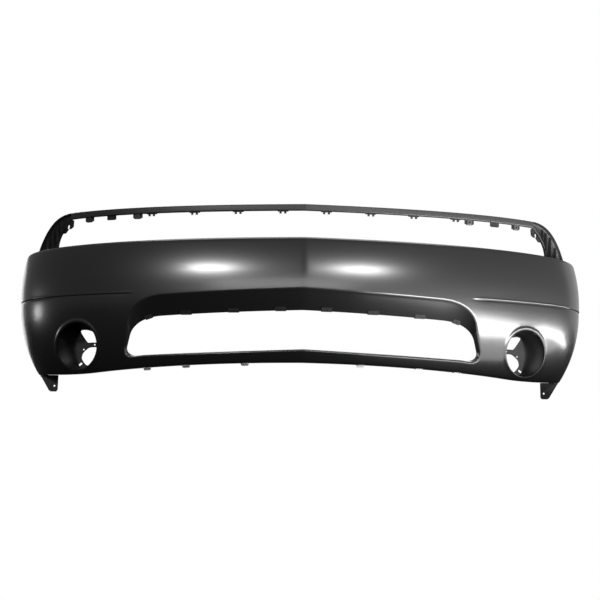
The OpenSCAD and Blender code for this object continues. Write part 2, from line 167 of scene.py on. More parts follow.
class FaceForm:
    """The face as a surface: a plan curve, and a distance behind it that depends on height."""

    def __init__(self, shape: CoverShape) -> None:
        """Sets up the surface and its table of lengths along the plan curve.

        Args:
            shape: Sizes of the cover.
        """
        self.shape = shape
        table = np.concatenate([np.linspace(0.0, 1.0, 1201) ** 1.3, np.linspace(1.0, 2.0, 40)[1:]])
        x, y = self.plan(table)
        self._t = table
        self._run = np.concatenate([[0.0], np.cumsum(np.hypot(np.diff(x), np.diff(y)))])

    def plan(self, t: np.ndarray) -> tuple[np.ndarray, np.ndarray]:
        """Plan curve, for t from 0 at the centre to 2 at the wheel arch, negative on the left.

        Args:
            t: Plan parameters.

        Returns:
            The curve's x and y.
        """
        s = self.shape
        t = np.asarray(t, float)
        angle = np.pi / 2 * np.minimum(np.abs(t), 1.0)
        x = s.half_width * np.sin(angle) ** (2 / s.plan_power)
        y = s.nose_y + s.front_depth * (1 - np.maximum(np.cos(angle), 0.0) ** (2 / s.plan_power))
        y = y + s.sweep * (np.hypot(x, s.crease_softness) - s.crease_softness)
        y = y + s.side_run * np.maximum(np.abs(t) - 1.0, 0.0)
        y = y + s.sweep * s.crease_softness * smooth_step(300, s.half_width, x)
        return np.sign(t) * x, y

    def inward(self, t: np.ndarray) -> tuple[np.ndarray, np.ndarray]:
        """Unit vector in plan that points into the part.

        Args:
            t: Plan parameters.

        Returns:
            The vector's x and y.
        """
        s = self.shape
        t = np.asarray(t, float)
        angle = np.pi / 2 * np.minimum(np.abs(t), 1.0)
        e = 2 - 2 / s.plan_power
        x = s.half_width * np.sin(angle) ** (2 / s.plan_power)
        dx = s.half_width * np.maximum(np.cos(angle), 0.0) ** e
        dy = s.front_depth * np.sin(angle) ** e + dx * s.sweep * x / np.hypot(x, s.crease_softness)
        length = np.hypot(dx, dy)
        return -np.sign(t) * dy / length, dx / length

    def bottom_edge(self, x: np.ndarray) -> np.ndarray:
        """Height of the bottom edge at a place across the cover."""
        x = np.abs(np.asarray(x, float))
        d = np.clip(x - 700, 0, 90)
        s = self.shape
        dip = s.chin_z - 50 * (np.minimum(x, 700) / 950) ** 2 - 0.0776 * d * (1 - d / 180)
        return dip + 0.00035 * np.maximum(x - 800, 0) ** 2

    def top_edge(self, x: np.ndarray) -> np.ndarray:
        """Height of the top edge at a place across the cover."""
        return self.shape.top_z - 11 * (np.asarray(x, float) / self.shape.half_width) ** 2

    def barrel(self, z: np.ndarray) -> np.ndarray:
        """Distance of the face behind the plan curve at a height."""
        s = self.shape
        z = np.asarray(z, float)
        low = s.belly_z - self.bottom_edge(np.array(s.half_width))
        upper = (z - s.belly_z) ** 2 / (2 * s.upper_radius)
        lower = s.lower_tuck * (np.maximum(s.belly_z - z, 0) / low) ** s.tuck_power
        return np.where(z > s.belly_z, upper, lower)

    def at(self, t: np.ndarray, sink: np.ndarray, z: np.ndarray) -> np.ndarray:
        """Points set back from the plan curve.

        Args:
            t: Plan parameters.
            sink: Distances behind the plan curve.
            z: Heights.

        Returns:
            An array of points, its last axis x, y, z.
        """
        t, sink, z = np.broadcast_arrays(np.asarray(t, float), sink, z)
        x, y = self.plan(t)
        nx, ny = self.inward(t)
        return np.stack([x + nx * sink, y + ny * sink, z], axis=-1)

    def t_of(self, x: np.ndarray, sink: np.ndarray) -> np.ndarray:
        """Plan parameters of points with a given x at a given distance behind the curve.

        Args:
            x: Places across the cover.
            sink: Distances behind the plan curve.

        Returns:
            The signed plan parameters.
        """
        x, sink = np.broadcast_arrays(np.asarray(x, float), np.asarray(sink, float))
        low, high = np.zeros(x.shape), np.ones(x.shape)
        for _ in range(30):
            mid = (low + high) / 2
            short = self.at(mid, sink, 0.0)[..., 0] < np.abs(x)
            low, high = np.where(short, mid, low), np.where(short, high, mid)
        return np.where(x < 0, -1.0, 1.0) * (low + high) / 2

    def run_of(self, t: np.ndarray) -> np.ndarray:
        """Length along the plan curve from the centre, for signed plan parameters."""
        return np.sign(t) * np.interp(np.abs(t), self._t, self._run)

    def t_at_run(self, run: np.ndarray) -> np.ndarray:
        """Plan parameters for signed lengths along the plan curve."""
        return np.sign(run) * np.interp(np.abs(run), self._run, self._t)

    def face_y(self, x: np.ndarray, z: np.ndarray) -> np.ndarray:
        """Place of the plain face, front to back, for points across it."""
        sink = self.barrel(z)
        return self.at(self.t_of(x, sink), sink, z)[..., 1]


# ---- Mesh making ---------------------------------------------------------------------------------


class Shell:
    """A mesh that is gathered from grids, plates and turned shapes, and then welded."""

    def __init__(self) -> None:
        """Starts an empty mesh."""
        self.points: list[Triple] = []
        self.faces: list[tuple[int, ...]] = []

    def _take(self, points: np.ndarray) -> int:
        """Adds points and gives the number of the first one."""
        first = len(self.points)
        self.points.extend(tuple(map(float, p)) for p in points)
        return first

    def grid(self, points: np.ndarray, loop: bool = False) -> None:
        """Adds a grid of four-sided faces.

        Args:
            points: Array of columns of points.
            loop: Whether the last column joins the first.
        """
        nu, nv = points.shape[:2]
        first = self._take(points.reshape(-1, 3))
        for i in range(nu if loop else nu - 1):
            a, b = first + i * nv, first + (i + 1) % nu * nv
            self.faces.extend((a + j, b + j, b + j + 1, a + j + 1) for j in range(nv - 1))

    def triangles(self, points: np.ndarray, faces: np.ndarray) -> None:
        """Adds triangles.

        Args:
            points: Array of points.
            faces: Array of three point numbers each.
        """
        first = self._take(points)
        self.faces.extend(tuple(int(first + k) for k in f) for f in faces)

    def plate(self, outline: list[Pair], thickness: float, place: Matrix,
              holes: list[list[Pair]] | None = None) -> None:
        """Adds a flat plate with holes, centred on its own plane.

        Args:
            outline: Corner points in the plate's plane.
            thickness: Thickness along the plate's z.
            place: Where the plate goes.
            holes: Outlines of its holes.
        """
        rings = [outline, *(holes or [])]
        flat = [Vector(p) for ring in rings for p in ring]
        edges, start = [], 0
        for ring in rings:
            edges += [(start + i, start + (i + 1) % len(ring)) for i in range(len(ring))]
            start += len(ring)
        out = delaunay_2d_cdt(flat, edges, [], 0, 1e-6)
        keep = []
        for tri in out[2]:
            mid = sum((out[0][k] for k in tri), Vector((0, 0))) / 3
            inside = [_inside(mid, ring) for ring in rings]
            if inside[0] and not any(inside[1:]):
                keep.append(tri)
        half = thickness / 2
        for z in (-half, half):
            pts = np.array([place @ Vector((p[0], p[1], z)) for p in out[0]])
            self.triangles(pts, np.array(keep))
        for ring in rings:
            wall = [[place @ Vector((p[0], p[1], z)) for z in (-half, half)] for p in ring]
            self.grid(np.array(wall), loop=True)

    def turned(self, profile: list[Pair], place: Matrix, segments: int = 32) -> None:
        """Adds a shape turned about its own z axis.

        Args:
            profile: Radius and height of each ring.
            place: Where the shape goes.
            segments: Number of sides.
        """
        rows = []
        for i in range(segments):
            a = 2 * math.pi * i / segments
            rows.append([place @ Vector((r * math.cos(a), r * math.sin(a), z)) for r, z in profile])
        self.grid(np.array(rows), loop=True)

    def box(self, low: Triple, high: Triple, place: Matrix, edge: float = 0.4) -> None:
        """Adds a block with chamfered upright edges.

        Args:
            low: Lowest corner.
            high: Highest corner.
            place: Where the block goes.
            edge: Width of the chamfers.
        """
        (x0, y0, z0), (x1, y1, z1) = low, high
        e = min(edge, (x1 - x0) / 3, (y1 - y0) / 3)
        ring = [(x0 + e, y0), (x1 - e, y0), (x1, y0 + e), (x1, y1 - e)]
        ring += [(x1 - e, y1), (x0 + e, y1), (x0, y1 - e), (x0, y0 + e)]
        self.plate(ring, z1 - z0, place @ Matrix.Translation((0, 0, (z0 + z1) / 2)))

    def mesh(self, name: str, sharp_degrees: float = 32.0, recalculate: bool = True) -> bpy.types.Mesh:
        """Welds the gathered faces into a mesh in metres.

        Args:
            name: Name of the mesh.
            sharp_degrees: Angle from which an edge is shaded sharp.
            recalculate: Whether faces are turned to point outwards.

        Returns:
            The new mesh.
        """
        mesh = bpy.data.meshes.new(name)
        mesh.from_pydata([tuple(c * MM for c in p) for p in self.points], [], self.faces)
        bm = bmesh.new()
        bm.from_mesh(mesh)
        bmesh.ops.remove_doubles(bm, verts=bm.verts, dist=2e-5)
        bmesh.ops.dissolve_degenerate(bm, edges=bm.edges, dist=1e-6)
        if recalculate:
            bmesh.ops.recalc_face_normals(bm, faces=bm.faces)
        bm.to_mesh(mesh)
        bm.free()
        mesh.shade_smooth()
        mesh.set_sharp_from_angle(angle=math.radians(sharp_degrees))
        return mesh

    def piece(self, name: str, material: bpy.types.Material, sharp_degrees: float = 32.0) -> bpy.types.Object:
        """Makes an object of the gathered faces.

        Args:
            name: Name of the object.
            material: Its material.
            sharp_degrees: Angle from which an edge is shaded sharp.

        Returns:
            The new object, linked to the scene.
        """
        obj = bpy.data.objects.new(name, self.mesh(name, sharp_degrees))
        obj.data.materials.append(material)
        bpy.context.scene.collection.objects.link(obj)
        return obj


def _inside(point: Vector, ring: list[Pair]) -> bool:
    """Even-odd test of a point against a ring."""
    hit = False
    for (x1, y1), (x2, y2) in zip(ring, ring[1:] + ring[:1]):
        if (y1 > point[1]) != (y2 > point[1]) and point[0] < (x2 - x1) * (point[1] - y1) / (y2 - y1) + x1:
            hit = not hit
    return hit


def inside_many(points: np.ndarray, ring: np.ndarray) -> np.ndarray:
    """Even-odd test of many points against a ring.

    Args:
        points: Array of points in a plane.
        ring: Array of the ring's corners.

    Returns:
        True for each point inside the ring.
    """
    hit = np.zeros(len(points), bool)
    for (x1, y1), (x2, y2) in zip(ring, np.roll(ring, -1, axis=0)):
        if y1 == y2:
            continue
        cross = (y1 > points[:, 1]) != (y2 > points[:, 1])
        hit ^= cross & (points[:, 0] < (x2 - x1) * (points[:, 1] - y1) / (y2 - y1) + x1)
    return hit


def softened(ring: list[Pair], times: int = 2) -> list[Pair]:
    """Cuts the corners of a ring, so that they read as rounded.

    Args:
        ring: Corners of the ring.
        times: How often the corners are cut.

    Returns:
        The softened ring.
    """
    pts = np.array(ring, float)
    for _ in range(times):
        nxt = np.roll(pts, -1, axis=0)
        pts = np.stack([pts * 0.8 + nxt * 0.2, pts * 0.2 + nxt * 0.8], 1).reshape(-1, 2)
    return [(float(x), float(y)) for x, y in pts]


def circle(centre: Pair, radius: float, count: int = 32) -> list[Pair]:
    """Points of a circle in a plane."""
    turns = [2 * math.pi * i / count for i in range(count)]
    return [(centre[0] + radius * math.cos(a), centre[1] + radius * math.sin(a)) for a in turns]


def grown(ring: np.ndarray, by: float) -> np.ndarray:
    """Moves a counter-clockwise ring outwards.

    Args:
        ring: Array of corners.
        by: Distance.

    Returns:
        The moved corners.
    """
    d = np.roll(ring, -1, axis=0) - np.roll(ring, 1, axis=0)
    d = d / np.linalg.norm(d, axis=1)[:, None]
    return ring + np.stack([d[:, 1], -d[:, 0]], axis=1) * by


def adopt(piece: bpy.types.Object, node: str) -> None:
    """Lets a piece ride on the cover and stand for a node.

    Args:
        piece: The finished piece.
        node: The node that it replaces.
    """
    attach(piece, "root")
    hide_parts(node)
    LOG.info("%s: %d faces", piece.name, len(piece.data.polygons))


def lay_on(origin: Triple, heading: float = 0.0, tilt: float = 0.0, roll: float = 0.0) -> Matrix:
    """Place of a part: rolled about Y, tilted about X, turned about Z, then moved.

    Args:
        origin: Where its origin goes.
        heading: Turn about Z, in degrees.
        tilt: Turn about X, in degrees.
        roll: Turn about Y, in degrees.

    Returns:
        The placing matrix.
    """
    return (
        Matrix.Translation(origin)
        @ Matrix.Rotation(math.radians(heading), 4, "Z")
        @ Matrix.Rotation(math.radians(tilt), 4, "X")
        @ Matrix.Rotation(math.radians(roll), 4, "Y")
    )


def mirrored(side: Side) -> Matrix:
    """Mirror in the middle plane for the left side, and no change for the right."""
    return Matrix.Diagonal((side.value, 1, 1, 1))


# ---- Materials -----------------------------------------------------------------------------------


class NodeGroups:
    """Node groups that several finishes share."""

    def __init__(self) -> None:
        """Builds each group once."""
        self.tone = self._tone()
        self.grain = self._grain()
        self.dust = self._dust()

    @staticmethod
    def _new(name: str, inputs: dict[str, float], outputs: dict[str, str]) -> bpy.types.NodeTree:
        """Starts a group with number inputs.

        Args:
            name: Name of the group.
            inputs: Each number input and its default.
            outputs: Each output and its socket type.

        Returns:
            The new group, with its input and output nodes.
        """
        tree = bpy.data.node_groups.new(name, "ShaderNodeTree")
        for label, value in inputs.items():
            socket = tree.interface.new_socket(label, in_out="INPUT", socket_type="NodeSocketFloat")
            socket.default_value = value
        for label, kind in outputs.items():
            tree.interface.new_socket(label, in_out="OUTPUT", socket_type=kind)
        tree.nodes.new("NodeGroupInput")
        tree.nodes.new("NodeGroupOutput")
        return tree

    def _tone(self) -> bpy.types.NodeTree:
        """Slow drift of tone across a moulding."""
        tree = self._new("ToneDrift", {"Scale": 4.0, "Amount": 0.1}, {"Factor": "NodeSocketFloat"})
        n, link = tree.nodes, tree.links.new
        start, end = n["Group Input"], n["Group Output"]
        coords = n.new("ShaderNodeTexCoord")
        noise = n.new("ShaderNodeTexNoise")
        noise.inputs["Detail"].default_value = 5.0
        noise.inputs["Roughness"].default_value = 0.6
        link(coords.outputs["Object"], noise.inputs["Vector"])
        link(start.outputs["Scale"], noise.inputs["Scale"])
        centre = n.new("ShaderNodeMath")
        centre.operation = "SUBTRACT"
        centre.inputs[1].default_value = 0.5
        scaled = n.new("ShaderNodeMath")
        scaled.operation = "MULTIPLY_ADD"
        scaled.inputs[2].default_value = 1.0
        link(noise.outputs["Fac"], centre.inputs[0])
        link(centre.outputs[0], scaled.inputs[0])
        link(start.outputs["Amount"], scaled.inputs[1])
        link(scaled.outputs[0], end.inputs["Factor"])
        return tree

    def _grain(self) -> bpy.types.NodeTree:
        """Height of a moulded grain: fine pebbles over a slow ripple."""
        tree = self._new("MouldGrain", {"Scale": 900.0, "Ripple": 0.2}, {"Height": "NodeSocketFloat"})
        n, link = tree.nodes, tree.links.new
        start, end = n["Group Input"], n["Group Output"]
        coords = n.new("ShaderNodeTexCoord")
        pebble = n.new("ShaderNodeTexNoise")
        pebble.inputs["Detail"].default_value = 3.0
        slow = n.new("ShaderNodeTexNoise")
        slow.inputs["Scale"].default_value = 14.0
        slow.inputs["Detail"].default_value = 2.0
        link(coords.outputs["Object"], pebble.inputs["Vector"])
        link(coords.outputs["Object"], slow.inputs["Vector"])
        link(start.outputs["Scale"], pebble.inputs["Scale"])
        mix = n.new("ShaderNodeMath")
        mix.operation = "MULTIPLY_ADD"
        link(slow.outputs["Fac"], mix.inputs[0])
        link(start.outputs["Ripple"], mix.inputs[1])
        link(pebble.outputs["Fac"], mix.inputs[2])
        link(mix.outputs[0], end.inputs["Height"])
        return tree

    def _dust(self) -> bpy.types.NodeTree:
        """Mask of faint dust on surfaces that face up."""
        tree = self._new("ShelfDust", {"Amount": 0.2}, {"Mask": "NodeSocketFloat"})
        n, link = tree.nodes, tree.links.new
        start, end = n["Group Input"], n["Group Output"]
        geometry = n.new("ShaderNodeNewGeometry")
        split = n.new("ShaderNodeSeparateXYZ")
        link(geometry.outputs["Normal"], split.inputs[0])
        rise = n.new("ShaderNodeMapRange")
        rise.inputs["From Min"].default_value = 0.55
        rise.inputs["From Max"].default_value = 1.0
        link(split.outputs["Z"], rise.inputs["Value"])
        coords = n.new("ShaderNodeTexCoord")
        noise = n.new("ShaderNodeTexNoise")
        noise.inputs["Scale"].default_value = 60.0
        noise.inputs["Detail"].default_value = 8.0
        link(coords.outputs["Object"], noise.inputs["Vector"])
        patch = n.new("ShaderNodeMath")
        patch.operation = "MULTIPLY"
        link(rise.outputs[0], patch.inputs[0])
        link(noise.outputs["Fac"], patch.inputs[1])
        level = n.new("ShaderNodeMath")
        level.operation = "MULTIPLY"
        link(patch.outputs[0], level.inputs[0])
        link(start.outputs["Amount"], level.inputs[1])
        link(level.outputs[0], end.inputs["Mask"])
        return tree


@dataclass(frozen=True)
class Finish:
    """A finish of plastic or steel."""

    name: str
    colour: Triple
    roughness: float
    metallic: float = 0.0
    tone_scale: float = 4.0
    tone_amount: float = 0.12
    grain_scale: float = 900.0
    grain_ripple: float = 0.2
    grain_depth: float = 0.02
    dust: float = 0.1
    dust_colour: Triple = (0.32, 0.31, 0.29)
    specular: float = 0.5
    coat: float = 0.0
    coat_roughness: float = 0.1

    def build(self, groups: NodeGroups) -> bpy.types.Material:
        """Makes the node material.

        Args:
            groups: The shared node groups.

        Returns:
            The new material.
        """
        material = bpy.data.materials.new(self.name)
        material.use_nodes = True
        n, link = material.node_tree.nodes, material.node_tree.links.new
        shader = n["Principled BSDF"]
        shader.inputs["Specular IOR Level"].default_value = self.specular
        shader.inputs["Metallic"].default_value = self.metallic
        shader.inputs["Coat Weight"].default_value = self.coat
        shader.inputs["Coat Roughness"].default_value = self.coat_roughness
        tone = n.new("ShaderNodeGroup")
        tone.node_tree = groups.tone
        tone.inputs["Scale"].default_value = self.tone_scale
        tone.inputs["Amount"].default_value = self.tone_amount
        base = n.new("ShaderNodeVectorMath")
        base.operation = "SCALE"
        base.inputs[0].default_value = self.colour
        link(tone.outputs["Factor"], base.inputs["Scale"])
        dust = n.new("ShaderNodeGroup")
        dust.node_tree = groups.dust
        dust.inputs["Amount"].default_value = self.dust
        mix = n.new("ShaderNodeMix")
        mix.data_type = "RGBA"
        mix.inputs["B"].default_value = (*self.dust_colour, 1.0)
        link(dust.outputs["Mask"], mix.inputs["Factor"])
        link(base.outputs[0], mix.inputs["A"])
        link(mix.outputs["Result"], shader.inputs["Base Color"])
        rough = n.new("ShaderNodeMath")
        rough.operation = "MULTIPLY"
        rough.inputs[1].default_value = self.roughness
        link(tone.outputs["Factor"], rough.inputs[0])
        link(rough.outputs[0], shader.inputs["Roughness"])
        grain = n.new("ShaderNodeGroup")
        grain.node_tree = groups.grain
        grain.inputs["Scale"].default_value = self.grain_scale
        grain.inputs["Ripple"].default_value = self.grain_ripple
        bump = n.new("ShaderNodeBump")
        bump.inputs["Strength"].default_value = self.grain_depth
        bump.inputs["Distance"].default_value = 0.001
        link(grain.outputs["Height"], bump.inputs["Height"])
        link(bump.outputs["Normal"], shader.inputs["Normal"])
        return material


class Palette:
    """The finishes of the cover."""

    def __init__(self, groups: NodeGroups) -> None:
        """Builds every material.

        Args:
            groups: The shared node groups.
        """
        self.primer = Finish(
            "BlackPrimer", (0.006, 0.006, 0.0063), 0.34, tone_amount=0.10, grain_depth=0.03,
            specular=0.25, dust=0.03, coat=0.75, coat_roughness=0.2).build(groups)
        self.header = Finish(
            "HeaderPlastic", (0.013, 0.013, 0.0135), 0.42, tone_amount=0.16, grain_scale=1500.0,
            grain_depth=0.08, specular=0.25).build(groups)
        self.bracket = Finish(
            "BracketPlastic", (0.006, 0.006, 0.0065), 0.48, tone_amount=0.2, grain_scale=1200.0,
            grain_depth=0.12, specular=0.2, dust=0.03).build(groups)
        self.dark_steel = Finish(
            "PhosphateSteel", (0.02, 0.02, 0.021), 0.5, metallic=0.3, tone_scale=40.0, tone_amount=0.3,
            grain_depth=0.1, dust=0.04).build(groups)
        self.pale_steel = Finish(
            "PassivatedSteel", (0.80, 0.80, 0.78), 0.5, metallic=0.15, tone_scale=40.0, tone_amount=0.15,
            grain_depth=0.1, dust=0.04).build(groups)
        self.steel = Finish(
            "ZincSteel", (0.62, 0.63, 0.65), 0.34, metallic=0.8, tone_scale=40.0, tone_amount=0.3,
            grain_depth=0.1, dust=0.05).build(groups)


# ---- Bumper skin ---------------------------------------------------------------------------------


@dataclass
class BumperSkin:
    """The moulded skin, with its rolled edges, intake, fog lamp mouths and back."""

    form: FaceForm
    column_step: float = 9.0
    row_step: float = 10.0
    inner_step: float = 24.0
    crease_z: float = 293.9
    crease_from: float = 528.0
    crease_full: float = 575.0
    crease_depth: float = 0.9
    crease_groove: float = 1.3
    crease_fade: float = 22.0
    crease_lip: float = 1.0
    crease_rows: tuple[float, ...] = (
        -32, -22, -14, -8.5, -5, -3, -1.8, -0.9, 0, 0.9, 1.8, 3, 5, 7.5, 10.5, 15)
    rim_height: float = 2.4
    rim_peak: float = 4.5
    rim_width: float = 12.0
    guide_gaps: tuple[float, ...] = (1.6, 3.4, 5.4, 8.0, 10.5, 13.5)
    roll: float = 6.0
    edge_gap: float = 2.2
    fog_count: int = 72
    boss_angles: tuple[float, ...] = (62.0, 148.0, 212.0)
    shell: Shell = field(default_factory=Shell)

    # -- outlines --

    def intake_top(self, x: float, inner: bool) -> float:
        """Height of the intake's upper edge, at the front or at the far side of its band."""
        if inner:
            return 242 - 0.02 * x - 0.000035 * x * x
        return 300 - 0.03 * x - 0.000023 * x * x

    def intake_ring(self, inner: bool) -> np.ndarray:
        """Outline of the intake as a counter-clockwise ring.

        Args:
            inner: Whether the far side of the band is meant.

        Returns:
            An array of x and z.
        """
        base = 122.0 if inner else 119.0
        half: list[Pair] = [(500 * i / 48, base - 0.034 * 500 * i / 48) for i in range(49)]
        if inner:
            upper_end = (440, self.intake_top(440, True))
            half += between((500, 105), (524, 103.5), 3) + bezier([(524, 103.5), (556, 105), (554, 130)], 16)
            half += between((554, 130), (546, 165), 9) + bezier([(546, 165), (532, 222), upper_end], 24)
        else:
            upper_end = (430, self.intake_top(430, False))
            half += between((500, 102), (530, 99), 3) + bezier([(530, 99), (565, 98), (562, 130)], 16)
            half += between((562, 130), (550, 190), 9) + bezier([(550, 190), (545, 278), upper_end], 24)
        half += [(x, self.intake_top(x, inner)) for x in np.linspace(upper_end[0] - 10, 0, 43)]
        return np.array(half + [(-x, z) for x, z in half[-2:0:-1]])

    def fog_ring(self, radius: float) -> np.ndarray:
        """Outline round the right fog lamp mouth as a counter-clockwise ring."""
        s = self.form.shape
        a = 2 * np.pi * np.arange(self.fog_count) / self.fog_count
        return np.stack([s.fog_x + radius * 0.97 * np.cos(a), s.fog_z + radius * 1.03 * np.sin(a)], axis=1)

    def rings(self, extra: float = 0.0) -> list[np.ndarray]:
        """Outlines of the three openings, each moved outwards by a distance."""
        fog = self.fog_ring(self.form.shape.fog_radius + extra)
        left = fog[::-1] * np.array([-1, 1])
        intake = self.intake_ring(False)
        return [grown(intake, extra) if extra else intake, fog, left]

    # -- surface --

    def relief(self, x: np.ndarray, z: np.ndarray) -> np.ndarray:
        """Distance that details press the face in, at points across it.

        Args:
            x: Places across the cover.
            z: Heights.

        Returns:
            Distances, negative where the face stands out.
        """
        s = self.form.shape
        x = np.abs(np.asarray(x, float))
        z = np.asarray(z, float)
        d = z - self.crease_z
        strength = smooth_step(self.crease_from, self.crease_full, x)
        below = self.crease_depth * np.exp(np.minimum(d, 0) / self.crease_fade)
        below = below / (1 + np.exp(np.clip(d / 0.9, -60, 60)))
        groove = self.crease_groove * np.exp(-(((d + 2.2) / 2.0) ** 2))
        lip = self.crease_lip * np.exp(-(((d - 2.4) / 2.4) ** 2))
        out = strength * (below + groove - lip)
        rho = np.hypot((x - s.fog_x) / 0.97, (z - s.fog_z) / 1.03) - s.fog_radius
        reach = np.where(rho > self.rim_peak, self.rim_width - self.rim_peak, 8.0)
        phase = np.clip((rho - self.rim_peak) / reach, -1, 1)
        out = out - self.rim_height * np.cos(np.pi / 2 * phase) ** 2
        near = np.clip(1 - self._intake_gap(x, z) / self.roll, 0, 1)
        return out + 0.12 * self.roll * self.roll * near ** 2

    def _intake_gap(self, x: np.ndarray, z: np.ndarray) -> np.ndarray:
        """Distance of points from the intake's front outline.

        Args:
            x: Places across the cover.
            z: Heights.

        Returns:
            Distances, very large for points far from the intake.
        """
        ring = self._intake_line
        flat = np.stack([np.ravel(x), np.ravel(z)], axis=1)
        best = np.full(len(flat), 1e9)
        close = (flat[:, 0] < 590) & (flat[:, 1] > 70) & (flat[:, 1] < 320)
        pts = flat[close]
        if len(pts):
            a, b = ring[:-1], ring[1:]
            ab = b - a
            f = np.clip(((pts[:, None] - a) * ab).sum(-1) / (ab ** 2).sum(-1), 0, 1)
            best[close] = np.linalg.norm(pts[:, None] - a - f[..., None] * ab, axis=-1).min(1)
        return best.reshape(np.shape(x))

    def place(self, run: np.ndarray, z: np.ndarray, facing: Facing) -> np.ndarray:
        """Points of the outer or inner wall for lengths along the plan and heights.

        Args:
            run: Signed lengths along the plan curve.
            z: Heights.
            facing: Which wall.

        Returns:
            The points.
        """
        t = self.form.t_at_run(run)
        sink = self.form.barrel(z)
        if facing is Facing.INNER:
            return self.form.at(t, sink + self.form.shape.wall, z)
        x = self.form.at(t, sink, z)[..., 0]
        return self.form.at(t, sink + self.relief(x, z), z)

    def to_run(self, ring: np.ndarray, sink: float = 0.0) -> np.ndarray:
        """Turns x and z on the face into length along the plan and height."""
        depth = self.form.barrel(ring[:, 1]) + sink
        return np.stack([self.form.run_of(self.form.t_of(ring[:, 0], depth)), ring[:, 1]], axis=1)

    def sheet(self, facing: Facing) -> None:
        """Adds the face, with its three openings, to the shell.

        Args:
            facing: Which wall.
        """
        outer = facing is Facing.OUTER
        wall = self.form.shape.wall
        sunk = 0.0 if outer else wall
        rings = [self.to_run(r, sunk) for r in self.rings(sunk)]
        low, high = self.low_row, self.high_row
        step = 1 if outer else 3
        edge = [(u, low[i]) for i, u in enumerate(self.runs)]
        edge += [(self.runs[-1], z) for z in self.end_rows[1:-1]]
        edge += [(u, high[i]) for i, u in reversed(list(enumerate(self.runs)))]
        edge += [(self.runs[0], z) for z in self.end_rows[-2:0:-1]]
        rows = np.arange(30.0, 470.0, self.row_step if outer else self.inner_step)
        uu, zz = np.meshgrid(self.runs[1:-1:step], rows, indexing="ij")
        stagger = np.where((np.round(zz.ravel() / self.row_step) % 2) > 0, 2.0, 0.0)
        loose = [np.stack([uu.ravel() + stagger, zz.ravel()], axis=1)]
        if outer:
            fine = self.crease_z + np.array(self.crease_rows)
            side = self.runs[1:-1][np.abs(self.form.plan(self.form.t_at_run(self.runs[1:-1]))[0]) > 505]
            cu, cz = np.meshgrid(side, fine, indexing="ij")
            keep = np.abs(loose[0][:, 1] - self.crease_z) > 19
            keep |= np.abs(self.form.plan(self.form.t_at_run(loose[0][:, 0]))[0]) < 500
            loose[0] = loose[0][keep]
            loose.append(np.stack([cu.ravel(), cz.ravel()], axis=1))
        guides = []
        if outer:
            for gap in self.guide_gaps:
                guides += [self.to_run(r) for r in self.rings(gap)]
        points = np.concatenate(loose)
        x = self.form.plan(self.form.t_at_run(points[:, 0]))[0]
        above, below = points[:, 1] > self.form.bottom_edge(x) + 10, points[:, 1] < self.form.top_edge(x) - 14
        points = points[above & below]
        for ring in self.rings(15.0 if outer else wall + 4):
            points = points[~inside_many(points, self.to_run(ring))]
        keep = np.ones(len(points), bool)
        for start in range(0, len(points), 2000):
            chunk = points[start:start + 2000]
            gap = np.abs(chunk[:, None, :] - np.array(edge)[None]).max(-1).min(1)
            keep[start:start + 2000] = gap > self.edge_gap
        flat = np.concatenate([np.array(edge), *rings, *guides, points[keep]])
        borders, first = [], 0
        for ring in (edge, *rings):
            n = len(ring)
            borders += [(first + i, first + (i + 1) % n) for i in range(n)]
            first += n
        made = delaunay_2d_cdt([Vector(p) for p in flat], borders, [], 0, 1e-5)
        verts = np.array([(v[0], v[1]) for v in made[0]])
        faces = np.array(made[2])
        mid = verts[faces].mean(1)
        keep = inside_many(mid, np.array(edge))
        for ring in rings:
            keep &= ~inside_many(mid, ring)
        self.shell.triangles(self.place(verts[:, 0], verts[:, 1], facing), faces[keep])

    # -- edges --

    def _curl(self, facing: Facing, top: bool, x: np.ndarray,
              shelf: np.ndarray) -> tuple[np.ndarray, np.ndarray]:
        """Distances and heights of the rows that roll over the top or bottom edge.

        Args:
            facing: Which wall.
            top: Whether the top edge is meant.
            x: Places of the columns across the cover.
            shelf: Width of the shelf at each column.

        Returns:
            Two arrays of columns by rows.
        """
        s, f = self.form.shape, self.form
        wall = s.wall if facing is Facing.INNER else 0.0
        edge = f.top_edge(x) if top else f.bottom_edge(x)
        reach = s.edge_radius if top else 6.0
        sign = 1.0 if top else -1.0
        start = np.stack([f.barrel(edge - sign * reach) + wall, edge - sign * reach], -1)
        corner = np.stack([f.barrel(edge) + wall + 0.4, edge - sign * wall], -1)
        end = np.stack([f.barrel(edge) + reach + (wall if not top else 0), edge - sign * wall], -1)
        rows = []
        for i in range(9):
            q = i / 8
            rows.append(start * (1 - q) ** 2 + corner * 2 * q * (1 - q) + end * q * q)
        for q in (0.3, 0.65, 1.0):
            width = shelf if top else np.full(len(x), s.chin_flange)
            last = np.stack([f.barrel(edge) + width, edge - sign * wall], -1)
            rows.append(end * (1 - q) + last * q)
        grid = np.stack(rows, 1)
        return grid[..., 0], grid[..., 1]

